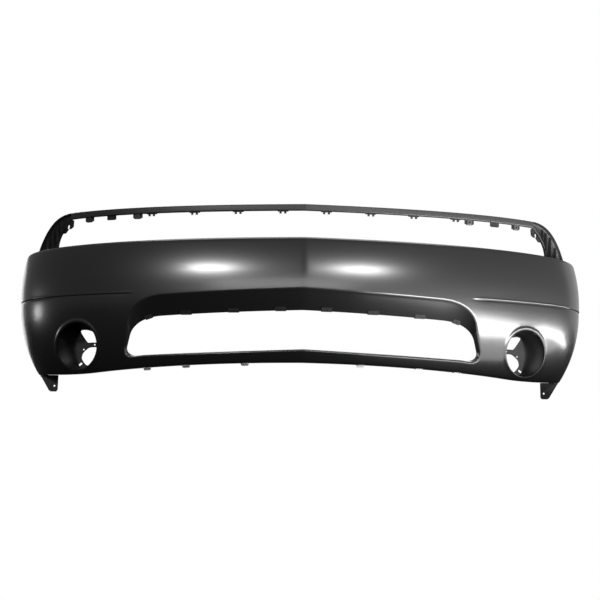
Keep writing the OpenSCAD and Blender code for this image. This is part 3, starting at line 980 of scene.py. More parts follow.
    def build(self, palette: Palette) -> bpy.types.Object:
        """Makes the skin.

        Args:
            palette: The finishes.

        Returns:
            The skin's object.
        """
        s, f = self.form.shape, self.form
        half_ring = self.intake_ring(False)
        middle = len(half_ring) // 2 + 1
        self._intake_line = half_ring[:middle + 1]
        t_end = 2.0 - s.wall / s.side_run
        run_end = float(f.run_of(np.array(t_end)))
        half_runs = np.linspace(0, run_end, int(round(run_end / self.column_step)) + 1)
        self.runs = np.concatenate([-half_runs[:0:-1], half_runs])
        ts = f.t_at_run(self.runs)
        xs = f.plan(ts)[0]
        self.low_row = f.bottom_edge(xs) + 6.0
        self.high_row = f.top_edge(xs) - s.edge_radius
        fine = self.crease_z + np.array(self.crease_rows)
        plain = np.arange(self.low_row[-1] + 8, self.high_row[-1] - 5, self.row_step)
        plain = plain[(np.abs(plain - self.crease_z) > 37) | (plain > self.crease_z + 20)]
        ends = [self.low_row[-1], *np.sort(np.concatenate([plain, fine])), self.high_row[-1]]
        self.end_rows = np.array(ends)
        for facing in Facing:
            self.sheet(facing)
        self._edges(ts, t_end)
        self._openings()
        self._bosses()
        return self.shell.piece("bumper_skin_shell", palette.primer, 34.0)

    def _stations(self, ts: np.ndarray, t_end: float, facing: Facing) -> list[tuple[float, float, float]]:
        """Columns of the skin with the wheel-arch flanges.

        Args:
            ts: Plan parameters of the columns between the flanges.
            t_end: Plan parameter where the face ends.
            facing: Which wall.

        Returns:
            Plan parameter, extra distance and extra depth of each column.
        """
        wall = self.form.shape.wall
        flange = self.form.shape.arch_flange
        turn = [(wall * (1 - math.cos(a)), wall * math.sin(a)) for a in np.radians([30, 60, 90])]
        turn += [(wall + (flange - wall) * q, wall) for q in (0.5, 1.0)]
        if facing is Facing.INNER:
            turn = [(e * (flange - wall) / flange, 0.0) for e, _ in turn]
        out = [(-t_end, e, d) for e, d in reversed(turn)]
        out += [(float(t), 0.0, 0.0) for t in ts]
        out += [(t_end, e, d) for e, d in turn]
        return out

    def _edges(self, ts: np.ndarray, t_end: float) -> None:
        """Adds the rolled edges, the flanges and the strips that close the wall's thickness.

        Args:
            ts: Plan parameters of the columns between the flanges.
            t_end: Plan parameter where the face ends.
        """
        s, f = self.form.shape, self.form
        edges: dict[tuple[Facing, bool], np.ndarray] = {}
        columns: dict[Facing, list[np.ndarray]] = {}
        for facing in Facing:
            stations = self._stations(ts, t_end, facing)
            t = np.array([q[0] for q in stations])
            extra = np.array([q[1] for q in stations])[:, None]
            depth = np.array([q[2] for q in stations])[:, None]
            x = f.plan(t)[0]
            narrow = np.clip((np.abs(t) - 0.93) / 0.15, 0, 1)
            shelf = s.shelf_width * (1 - narrow) + 20 * narrow
            for top in (True, False):
                sink, z = self._curl(facing, top, x, shelf)
                grid = f.at(t[:, None], sink + extra, z)
                if facing is Facing.OUTER:
                    fade = np.linspace(1, 0, 5)
                    rx = np.abs(f.at(t, sink[:, 0], z[:, 0])[..., 0])
                    lift = self.relief(rx, z[:, 0])
                    for row, share in enumerate(fade):
                        grid[:, row] = f.at(t, sink[:, row] + extra[:, 0] + lift * share, z[:, row])
                grid[..., 1] += depth
                self.shell.grid(grid)
                edges[facing, top] = grid
            wings = []
            for part in (slice(0, 6), slice(len(t) - 6, len(t))):
                sink = f.barrel(self.end_rows) + (s.wall if facing is Facing.INNER else 0.0)
                if facing is Facing.OUTER:
                    sink = sink + self.relief(np.full(len(sink), s.half_width - 10), self.end_rows)
                grid = f.at(t[part, None], sink[None] + extra[part], self.end_rows[None])
                grid[..., 1] += depth[part]
                self.shell.grid(grid)
                wings.append(grid)
            columns[facing] = wings
        for top in (True, False):
            pair = np.stack([edges[Facing.OUTER, top][:, -1], edges[Facing.INNER, top][:, -1]], 1)
            self.shell.grid(pair)
            for end in (0, -1):
                self.shell.grid(np.stack([edges[Facing.OUTER, top][end], edges[Facing.INNER, top][end]], 1))
        for wing, end in ((0, 0), (1, -1)):
            self.shell.grid(np.stack([columns[Facing.OUTER][wing][end], columns[Facing.INNER][wing][end]], 1))

    def _openings(self) -> None:
        """Adds the returns of the intake and of the fog lamp mouths."""
        s = self.form.shape
        outline, far = self.intake_ring(False), self.intake_ring(True)
        share = np.clip((far[:, 1] - 120) / 90, 0, 1)
        depth = s.return_depth * (1 - share) + s.band_depth * share
        self._return(outline, far, depth, grown(outline, s.wall), 10)
        for side, ring in zip((Side.RIGHT, Side.LEFT), self.rings()[1:]):
            wide = self.rings(s.wall)[1 if side is Side.RIGHT else 2]
            self._return(ring, ring, np.full(len(ring), 12.0), wide, 4)

    def _return(self, front: np.ndarray, far: np.ndarray, depth: np.ndarray, back: np.ndarray,
                rows: int) -> None:
        """Adds one return: from the face to its far edge, round its thickness, and back to the inner wall.

        Args:
            front: Outline on the face.
            far: Outline of the far edge.
            depth: Depth of the far edge behind the face at each point.
            back: Outline on the inner wall.
            rows: Number of steps from the front to the far edge.
        """
        s, f = self.form.shape, self.form
        run = self.to_run(front)
        start = self.place(run[:, 0], run[:, 1], Facing.OUTER)
        end = np.stack([far[:, 0], f.face_y(far[:, 0], far[:, 1]) + depth, far[:, 1]], 1)
        steps = [start * (1 - q) + end * q for q in np.linspace(0, 1, rows + 1)]
        self.shell.grid(np.stack(steps, 1), loop=True)
        away = grown(front, s.wall) - front
        rim = end + np.stack([away[:, 0], np.zeros(len(front)), away[:, 1]], 1)
        self.shell.grid(np.stack([end, rim], 1), loop=True)
        inner_run = self.to_run(back, s.wall)
        inner = self.place(inner_run[:, 0], inner_run[:, 1], Facing.INNER)
        self.shell.grid(np.stack([rim * (1 - q) + inner * q for q in (0, 0.5, 1)], 1), loop=True)

    def _bosses(self) -> None:
        """Adds the screw bosses behind the face, round each fog lamp mouth."""
        for side in Side:
            for x, y, z in boss_places(self.form, self.boss_angles):
                place = mirrored(side) @ lay_on((x, y, z), tilt=90)
                self.shell.turned([(2, 0), (4.6, 0), (5, 0.4), (5.2, 12.2), (2, 12.2), (2, 0)], place, 24)


def boss_places(form: FaceForm, angles: tuple[float, ...] = (62.0, 148.0, 212.0)) -> list[Triple]:
    """Places of the rear ends of the screw bosses on the right side."""
    s = form.shape
    out = []
    for a in np.radians(angles):
        x, z = s.fog_x + 96 * math.cos(a), s.fog_z + 88 * math.sin(a)
        out.append((x, float(form.face_y(np.array(x), np.array(z))) + 16, z))
    return out


# ---- Header bar ----------------------------------------------------------------------------------


def at_back(form: FaceForm, x: float, sink: float, z: float, at: float | None = None) -> Matrix:
    """Place on a line set back from the plan, with local +Y pointing into the part.

    Args:
        form: The face.
        x: Place across the cover, on the right, where the header's line has this x.
        sink: Distance behind the plan curve.
        z: Height.
        at: Plan parameter, used in place of x.

    Returns:
        The placing matrix.
    """
    t = np.array(at) if at is not None else form.t_of(np.array(x), np.array(form.shape.header_setback))
    nx, ny = (float(v) for v in form.inward(t))
    origin = tuple(float(v) for v in form.at(t, np.array(sink), np.array(z)))
    return lay_on(origin, heading=math.degrees(math.atan2(ny, nx)) - 90)


@dataclass
class HeaderBar:
    """The bar over the grille opening, with its hanging and flat tabs."""

    form: FaceForm
    columns: int = 60
    lamp_tabs: tuple[tuple[float, bool], ...] = ((539.0, True), (628.0, False), (705.0, True))
    pin_tabs: tuple[float, ...] = (140.0, 400.0, 640.0)
    tab_hole: float = 3.0
    pin_hole: float = 4.0

    def profile(self, inner: bool) -> list[Pair]:
        """Distance and height of each row of the bar's channel.

        Args:
            inner: Whether the side inside the channel is meant.

        Returns:
            The rows, from the flange to the lower lip.
        """
        s = self.form.shape
        b, top, low = s.header_setback, s.header_top, s.header_top - s.header_height
        w = s.wall if inner else 0.0
        r = 1.2 if inner else 3.0
        rows = [(b + s.header_flange, top - w), (b + 10, top - w)]
        rows += bezier([(b + w + r, top - w), (b + w, top - w), (b + w, top - w - r)], 4)
        rows += [(b + w, (top + low) / 2)]
        rows += bezier([(b + w, low + w + r), (b + w, low + w), (b + w + r, low + w)], 4)
        rows += [(b + 12, low + w)]
        return rows

    def build(self, palette: Palette) -> bpy.types.Object:
        """Makes the bar.

        Args:
            palette: The finishes.

        Returns:
            The bar's object.
        """
        s = self.form.shape
        end = float(self.form.run_of(self.form.t_of(np.array(s.header_half), np.array(s.header_setback))))
        t = self.form.t_at_run(np.linspace(-end, end, 2 * self.columns + 1))
        shell = Shell()
        walls = []
        for inner in (False, True):
            rows = np.array(self.profile(inner))
            walls.append(self.form.at(t[:, None], rows[None, :, 0], rows[None, :, 1]))
            shell.grid(walls[-1])
        for end_row in (0, -1):
            shell.grid(np.stack([walls[0][:, end_row], walls[1][:, end_row]], 1))
            shell.grid(np.stack([walls[0][end_row], walls[1][end_row]], 1))
        for side in Side:
            for x in self.pin_tabs:
                rear = s.header_setback + s.header_flange
                place = mirrored(side) @ at_back(self.form, x, rear, s.header_top)
                outline = [(-22, -5), (22, -5), (22, 22), (16, 28), (-16, 28), (-22, 22)]
                shell.plate(outline, s.wall, place @ Matrix.Translation((0, 0, -s.wall / 2)),
                            [circle((0, 14), self.pin_hole, 32)])
        return shell.piece("header_bar_moulding", palette.header)

    def build_tabs(self, palette: Palette) -> bpy.types.Object:
        """Makes the tabs that hang from the bar for the lamps.

        Args:
            palette: The finishes.

        Returns:
            The tabs' object.
        """
        s = self.form.shape
        low = s.header_top - s.header_height
        shell = Shell()
        for side in Side:
            for x, hole in self.lamp_tabs:
                place = mirrored(side) @ at_back(self.form, x, s.header_setback + 10.4, low)
                outline = [(-16, 2.5), (-16, -11), (-13, -14), (13, -14), (16, -11), (16, 2.5)]
                holes = [circle((0, -7), self.tab_hole, 24)] if hole else []
                shell.plate(outline, s.wall, place @ lay_on((0, 0, 0), tilt=90), holes)
                for rib in (-14.5, 14.5):
                    shell.box((rib - 1, 1.4, -12), (rib + 1, 4.4, 0.4), place)
        return shell.piece("header_lamp_tabs", palette.bracket)


# ---- Lamp pillars --------------------------------------------------------------------------------


@dataclass
class LampPillar:
    """A pillar between the header bar and the shelf: a channel open in front, with ribs and a lamp hook."""

    form: FaceForm
    side: Side
    rows: int = 48
    wall: float = 4.0
    deep: float = 14.0
    outer_radius: float = 2.2
    inner_radius: float = 3.4
    rim: float = 0.8
    lower_rise: float = 5.0
    foot_sinks: Pair = (43.0, 65.0)
    hook_t: float = 0.645
    hook_sink: float = 84.0
    hook_drop: float = 43.3
    hook_radius: float = 8.0
    screw_ts: Pair = (0.735, 0.8)
    screw_sink: float = 50.0
    ribs: tuple[tuple[float, float, float, float], ...] = (
        (0.68, 70.0, 523.0, 38.0), (0.70, 66.0, 491.0, 60.0),
        (0.73, 62.0, 461.0, 76.0), (0.77, 56.0, 461.0, 44.0))

    def edge_at(self, f: float, lower: bool) -> Triple:
        """A point of one of the pillar's edges.

        Args:
            f: Share of the way from the header bar to the foot.
            lower: Whether the lower edge is meant.

        Returns:
            Plan parameter, distance behind the plan curve and height.
        """
        s = self.form.shape
        start = float(self.form.t_of(np.array(s.header_half), np.array(s.header_setback)))
        top, low, foot = s.header_top, s.header_top - s.header_height, s.top_z - 8
        if lower:
            t, z = curve_at([(start + 0.006, low), (0.655, low - 23), (0.72, foot + 40), (0.7, foot)], f)
        else:
            t, z = curve_at([(start + 0.003, top), (0.7, top - 6), (0.746, top - 36), (0.835, foot)], f)
        sink = s.header_setback * (1 - f) + self.foot_sinks[1 if lower else 0] * f
        return t, sink, z

    def point(self, t: float, sink: float, z: float) -> np.ndarray:
        """A single point set back from the plan curve."""
        return self.form.at(np.array(t), np.array(sink), np.array(z))

    def rung(self, f: float, inner: bool) -> list[np.ndarray]:
        """One rung across the pillar, from the rim of its outer edge to the rim of its inner edge.

        Args:
            f: Share of the way from the header bar to the foot.
            inner: Whether the side inside the channel is meant.

        Returns:
            The rung's points.
        """
        (ta, sa, za), (tb, sb, zb) = self.edge_at(f, False), self.edge_at(f, True)
        w = self.wall if inner else 0.0
        deep = self.deep - w
        across = self.point(tb, sb + deep, zb) - self.point(ta, sa + deep, za)
        across = across / np.linalg.norm(across)
        r = self.inner_radius if inner else self.outer_radius
        rise = 0.0 if inner else self.rim
        lip = w - (self.rim if inner else 0)
        bend = [(deep - r, w), (deep - r * 0.3, w + r * 0.3), (deep, w + r)]
        row = [self.point(ta, sa + rise, za) + across * lip]
        row += [self.point(ta, sa + d, za) + across * a for d, a in bend]
        row += [self.point(tb, sb + d, zb) - across * a for d, a in reversed(bend)]
        row += [self.point(tb, sb + self.lower_rise + rise, zb) - across * lip]
        return row

    def build(self, palette: Palette) -> bpy.types.Object:
        """Makes the pillar.

        Args:
            palette: The finishes.

        Returns:
            The pillar's object.
        """
        s, f = self.form.shape, self.form
        shell = Shell()
        turn = np.array([self.side.value, 1, 1])
        walls = [np.array([self.rung(i / self.rows, inner) for i in range(self.rows + 1)]) * turn
                 for inner in (False, True)]
        for wall in walls:
            shell.grid(wall)
        for end in (0, -1):
            shell.grid(np.stack([walls[0][:, end], walls[1][:, end]], 1))
            shell.grid(np.stack([walls[0][end], walls[1][end]], 1))
        flip = mirrored(self.side)
        tongue = flip @ at_back(f, 747, s.header_setback + 4.5, s.header_top - 7.2)
        shell.box((-26, 0, 0), (26, 12, 3.8), tongue, 2.0)
        self._hook(shell, flip)
        for t, sink, z, tall in self.ribs:
            place = flip @ at_back(f, 0, sink, z, at=t)
            outline = [(0, 0), (13, 0), (13, tall), (4, tall), (1.5, tall - 3), (0, tall - 8)]
            upright = Matrix(((0, 0, 1, 0), (1, 0, 0, 0), (0, 1, 0, 0), (0, 0, 0, 1)))
            shell.plate(outline, 2.5, place @ upright)
        foot = s.top_z - 8
        base = flip @ at_back(f, 0, 44, foot, at=0.768)
        inward = base.inverted()
        holes = []
        for t in self.screw_ts:
            spot = inward @ (flip @ at_back(f, 0, self.screw_sink, foot, at=t)).translation
            holes.append(circle((spot[0], spot[1]), 2.5, 20))
        outline = softened([(-42, 0), (42, 0), (42, 34), (-42, 34)])
        shell.plate(outline, s.wall, base @ Matrix.Translation((0, 0, s.wall / 2)), holes)
        return shell.piece(f"{self.side.word}_lamp_pillar_moulding", palette.bracket)

    def _hook(self, shell: Shell, flip: Matrix) -> None:
        """Adds the hook plate and the bead round its notch.

        Args:
            shell: The shell that takes them.
            flip: Mirror for the pillar's side.
        """
        s, r = self.form.shape, self.hook_radius
        outer = [(15, -20), (40, -20), (40, 20), (10, 28), (-12, 26), (-24, 18), (-22, -2), (-8, -8)]
        low = math.sqrt(r * r - 1)
        notch = [(-6, -7), (-6, -math.sqrt(r * r - 36))]
        start, end = math.atan2(-math.sqrt(r * r - 36), -6), math.atan2(-low, 1)
        notch += [(r * math.cos(a), r * math.sin(a)) for a in np.linspace(start, end - 2 * math.pi, 30)[1:]]
        notch += [(1, -8.4), (2, -8.6)]
        place = flip @ at_back(self.form, 0, self.hook_sink, s.header_top - self.hook_drop, at=self.hook_t)
        place = place @ Matrix.Rotation(math.pi / 2, 4, "X")
        shell.plate(outer + notch, self.wall, place)
        start, end = -0.35 * math.pi, 1.28 * math.pi
        bead = [((r + 0.1) * math.cos(a), (r + 0.1) * math.sin(a)) for a in np.linspace(start, end, 30)]
        bead += [((r + 2.2) * math.cos(a), (r + 2.2) * math.sin(a)) for a in np.linspace(end, start, 30)]
        for q in (-0.9, 0.9):
            shell.plate(bead, 2.4, place @ Matrix.Translation((0, 0, q * 2.6)))


# ---- Fog lamp buckets ----------------------------------------------------------------------------


@dataclass
class FogBucket:
    """The bucket behind a fog lamp mouth, with a cross arm and screw ears."""

    form: FaceForm
    side: Side
    turns: int = 64
    steps: int = 24
    back_y: float = 40.0
    bowl: float = 20.0
    end: Triple = (700.0, 56.0, 70.0)
    arm_holes: tuple[Pair, ...] = ((676.0, 149.0), (711.0, 132.5))
    slot_ends: tuple[Pair, Pair] = ((717.5, 86.5), (726.0, 79.5))
    hole: float = 2.8
    window_high: tuple[Pair, ...] = (
        (726, 194), (711, 198), (690, 195), (668, 182), (655, 166), (651, 157), (690, 156), (699, 154.5))
    window_low: tuple[Pair, ...] = (
        (692, 141), (706, 129), (714, 120), (718, 103), (703, 82), (688, 79), (666, 90), (654, 108),
        (650, 141))

    def wall_points(self, inner: bool) -> np.ndarray:
        """Points of the outer or inner wall, as columns round the bucket.

        Args:
            inner: Whether the inner wall is meant.

        Returns:
            The points.
        """
        s = self.form.shape
        w = s.wall if inner else 0.0
        a = (2 * np.pi * np.arange(self.turns) / self.turns)[:, None]
        f = np.sin(np.pi / 2 * np.linspace(0, 1, self.steps + 1))[None]
        step = f * f * (3 - 2 * f)
        wide = (s.fog_radius + 7) * (1 - step) + self.end[1] * step - w
        tall = (s.fog_radius * 1.03 + 5) * (1 - step) + self.end[2] * step - w
        x = s.fog_x * (1 - step) + self.end[0] * step + wide * np.cos(a)
        z = np.maximum(s.fog_z + tall * np.sin(a), self.form.bottom_edge(x) + 4.6 + w)
        px = s.fog_x + wide * np.cos(a)
        level = np.full(z.shape, s.fog_z)
        front = np.maximum(self.form.face_y(px, z) + 13, self.form.face_y(px, level) + 7.5)
        end = self.back_y - (4.0 if inner else 0.0)
        y = front * (1 - f) + end * f
        if inner:
            r = 0.01 + self.bowl * smooth_step(0.3, 0.95, np.cos(a))
            bend = r - np.sqrt(np.maximum(r * r - np.maximum(r - (end - y), 0) ** 2, 0))
            x = x - bend * np.cos(a)
            z = z - bend * np.sin(a)
        return np.stack([x * self.side.value, y, z], axis=-1)

    def _slot(self, radius: float) -> list[Pair]:
        """Outline of the aiming slot."""
        (x0, z0), (x1, z1) = self.slot_ends
        turn = math.atan2(z1 - z0, x1 - x0)
        out = [(x1 + radius * math.cos(turn + q), z1 + radius * math.sin(turn + q))
               for q in np.linspace(-math.pi / 2, math.pi / 2, 9)]
        out += [(x0 + radius * math.cos(turn + q), z0 + radius * math.sin(turn + q))
                for q in np.linspace(math.pi / 2, 3 * math.pi / 2, 9)]
        return out

    def build(self, palette: Palette) -> bpy.types.Object:
        """Makes the bucket.

        Args:
            palette: The finishes.

        Returns:
            The bucket's object.
        """
        s = self.form.shape
        shell = Shell()
        walls = [self.wall_points(inner) for inner in (False, True)]
        for wall in walls:
            shell.grid(wall, loop=True)
        for end in (0, -1):
            shell.grid(np.stack([walls[0][:, end], walls[1][:, end]], 1), loop=True)
        flip = mirrored(self.side)
        back = flip @ lay_on((0, self.back_y - 2, 0), tilt=90)
        disc = [(self.end[0] + (self.end[1] - 1) * math.cos(q), s.fog_z + (self.end[2] - 1) * math.sin(q))
                for q in np.linspace(0, 2 * math.pi, self.turns, endpoint=False)]
        holes = [softened(list(self.window_high)), softened(list(self.window_low)), self._slot(3.3)]
        holes += [circle(p, self.hole, 24) for p in self.arm_holes]
        shell.plate(disc, 4, back, holes)
        r = self.hole
        for p in self.arm_holes:
            collar = back @ Matrix.Translation((*p, 0))
            shell.turned([(r, 1.9), (r, 3.4), (r + 1.6, 3.4), (r + 2.2, 1.9)], collar, 24)
        for x, y, z in boss_places(self.form):
            away = math.degrees(math.atan2(z - s.fog_z, x - s.fog_x))
            place = flip @ lay_on((x, y + 2.4, z), tilt=90) @ Matrix.Rotation(math.radians(away), 4, "Z")
            ear = [(9 * math.cos(q), 9 * math.sin(q)) for q in np.radians(np.linspace(-90, 90, 17))]
            ear += [(-18, 9), (-18, -9)]
            shell.plate(ear, 4, place, [circle((0, 0), 2.2, 20)])
            gusset = [(-15, 0), (-9, 0), (-9, -8), (-15, -30), (-17, -30)]
            shell.plate(gusset, 3, place @ Matrix.Rotation(math.pi / 2, 4, "X"))
        return shell.piece(f"{self.side.word}_fog_bucket_moulding", palette.bracket)


# ---- Foot brackets -------------------------------------------------------------------------------


@dataclass
class FootBracket:
    """A hanging bracket under a rear lower corner: a pad on the flange, a tapered plate and two ribs."""

    form: FaceForm
    side: Side
    screw_ts: Pair = (0.885, 0.95)
    pad: tuple[Pair, ...] = ((806, 0), (866, 0), (875, 70), (846, 70), (840, 27), (808, 8))
    rib_xs: Pair = (820.0, 848.0)
    hole_at: Pair = (818.0, 19.0)
    hole: float = 3.2

    def level(self) -> float:
        """Height of the pad's upper face."""
        return float(self.form.bottom_edge(self.form.plan(np.array(0.85))[0])) - 0.3

    def screw_point(self, t: float) -> Triple:
        """Place of a screw on the pad."""
        s, f = self.form.shape, self.form
        sink = float(f.barrel(np.array(s.chin_z - 23))) + 14
        return tuple(float(v) for v in f.at(np.array(t), np.array(sink), np.array(self.level())))

    def build(self, palette: Palette) -> bpy.types.Object:
        """Makes the bracket.

        Args:
            palette: The finishes.

        Returns:
            The bracket's object.
        """
        wall, top = self.form.shape.wall, self.level()
        front = self.screw_point(self.screw_ts[0])[1] - 14
        flip = mirrored(self.side)
        shell = Shell()
        holes = [circle(self.screw_point(t)[:2], 2.2, 20) for t in self.screw_ts]
        pad = softened([(x, y + front) for x, y in self.pad], 1)
        shell.plate(pad, wall, flip @ Matrix.Translation((0, 0, top - wall / 2)), holes)
        sheet = [(806, top - 1), (866, top - 1), (836, top - 51), (830, 0), (812, 0), (807, top - 49)]
        place = flip @ lay_on((0, front + wall / 2, 0), tilt=90)
        shell.plate(sheet, wall, place, [circle(self.hole_at, self.hole, 28)])
        ring = place @ Matrix.Translation((*self.hole_at, 0))
        r = self.hole
        shell.turned([(r, 1.4), (r, 2.6), (r + 1.8, 2.6), (r + 2.4, 1.4)], ring, 28)
        for x in self.rib_xs:
            rib = flip @ Matrix.Translation((x, front + 1, top - 20))
            shape = [(0, 0), (3, 0), (12, 14), (12, 18), (0, 18)]
            turn = Matrix(((0, 0, 1, 1.25), (1, 0, 0, 0), (0, 1, 0, 0), (0, 0, 0, 1)))
            shell.plate(shape, 2.5, rib @ turn)
        return shell.piece(f"{self.side.word}_foot_bracket_moulding", palette.bracket)


# ---- Fixings -------------------------------------------------------------------------------------


class FixingTree:
    """Geometry Nodes that set a copy of a template on each point of a mesh."""

    def __init__(self) -> None:
        """Builds the tree once."""
        tree = bpy.data.node_groups.new("SetFixings", "GeometryNodeTree")
        sockets = tree.interface.new_socket
        sockets("Geometry", in_out="INPUT", socket_type="NodeSocketGeometry")
        self.template = sockets("Template", in_out="INPUT", socket_type="NodeSocketObject").identifier
        self.finish = sockets("Finish", in_out="INPUT", socket_type="NodeSocketMaterial").identifier
        self.size = sockets("Size", in_out="INPUT", socket_type="NodeSocketFloat").identifier
        sockets("Geometry", in_out="OUTPUT", socket_type="NodeSocketGeometry")
        n, link = tree.nodes, tree.links.new
        start, end = n.new("NodeGroupInput"), n.new("NodeGroupOutput")
        info = n.new("GeometryNodeObjectInfo")
        info.transform_space = "ORIGINAL"
        turn = n.new("GeometryNodeInputNamedAttribute")
        turn.data_type = "FLOAT_VECTOR"
        turn.inputs["Name"].default_value = "turn"
        spin = n.new("FunctionNodeEulerToRotation")
        put = n.new("GeometryNodeInstanceOnPoints")
        real = n.new("GeometryNodeRealizeInstances")
        dress = n.new("GeometryNodeSetMaterial")
        link(start.outputs["Template"], info.inputs["Object"])
        link(start.outputs["Geometry"], put.inputs["Points"])
        link(info.outputs["Geometry"], put.inputs["Instance"])
        link(turn.outputs["Attribute"], spin.inputs["Euler"])
        link(spin.outputs["Rotation"], put.inputs["Rotation"])
        link(start.outputs["Size"], put.inputs["Scale"])
        link(put.outputs["Instances"], real.inputs["Geometry"])
        link(real.outputs["Geometry"], dress.inputs["Geometry"])
        link(start.outputs["Finish"], dress.inputs["Material"])
        link(dress.outputs["Geometry"], end.inputs["Geometry"])
        self.tree = tree

    def set(self, name: str, places: list[Matrix], template: bpy.types.Mesh,
            finish: bpy.types.Material) -> bpy.types.Object:
        """Makes one piece of copies of a template.

        Args:
            name: Name of the piece.
            places: Where each copy goes, in millimetres.
            template: The mesh to copy, in metres.
            finish: The material.

        Returns:
            The piece, as a plain mesh.
        """
        mesh = bpy.data.meshes.new(f"{name}_points")
        mesh.from_pydata([tuple(c * MM for c in p.translation) for p in places], [], [])
        turn = mesh.attributes.new("turn", "FLOAT_VECTOR", "POINT")
        for i, place in enumerate(places):
            turn.data[i].vector = place.to_euler()
        host = bpy.data.objects.new(f"{name}_host", mesh)
        model = bpy.data.objects.new(f"{name}_template", template)
        for obj in (host, model):
            bpy.context.scene.collection.objects.link(obj)
        modifier = host.modifiers.new("SetFixings", "NODES")
        modifier.node_group = self.tree
        modifier[self.template] = model
        modifier[self.finish] = finish
        modifier[self.size] = 1.0
        depsgraph = bpy.context.evaluated_depsgraph_get()
        made = bpy.data.meshes.new_from_object(host.evaluated_get(depsgraph), depsgraph=depsgraph)
        made.name = name
        piece = bpy.data.objects.new(name, made)
        bpy.context.scene.collection.objects.link(piece)
        for obj in (host, model):
            bpy.data.objects.remove(obj)
        return piece


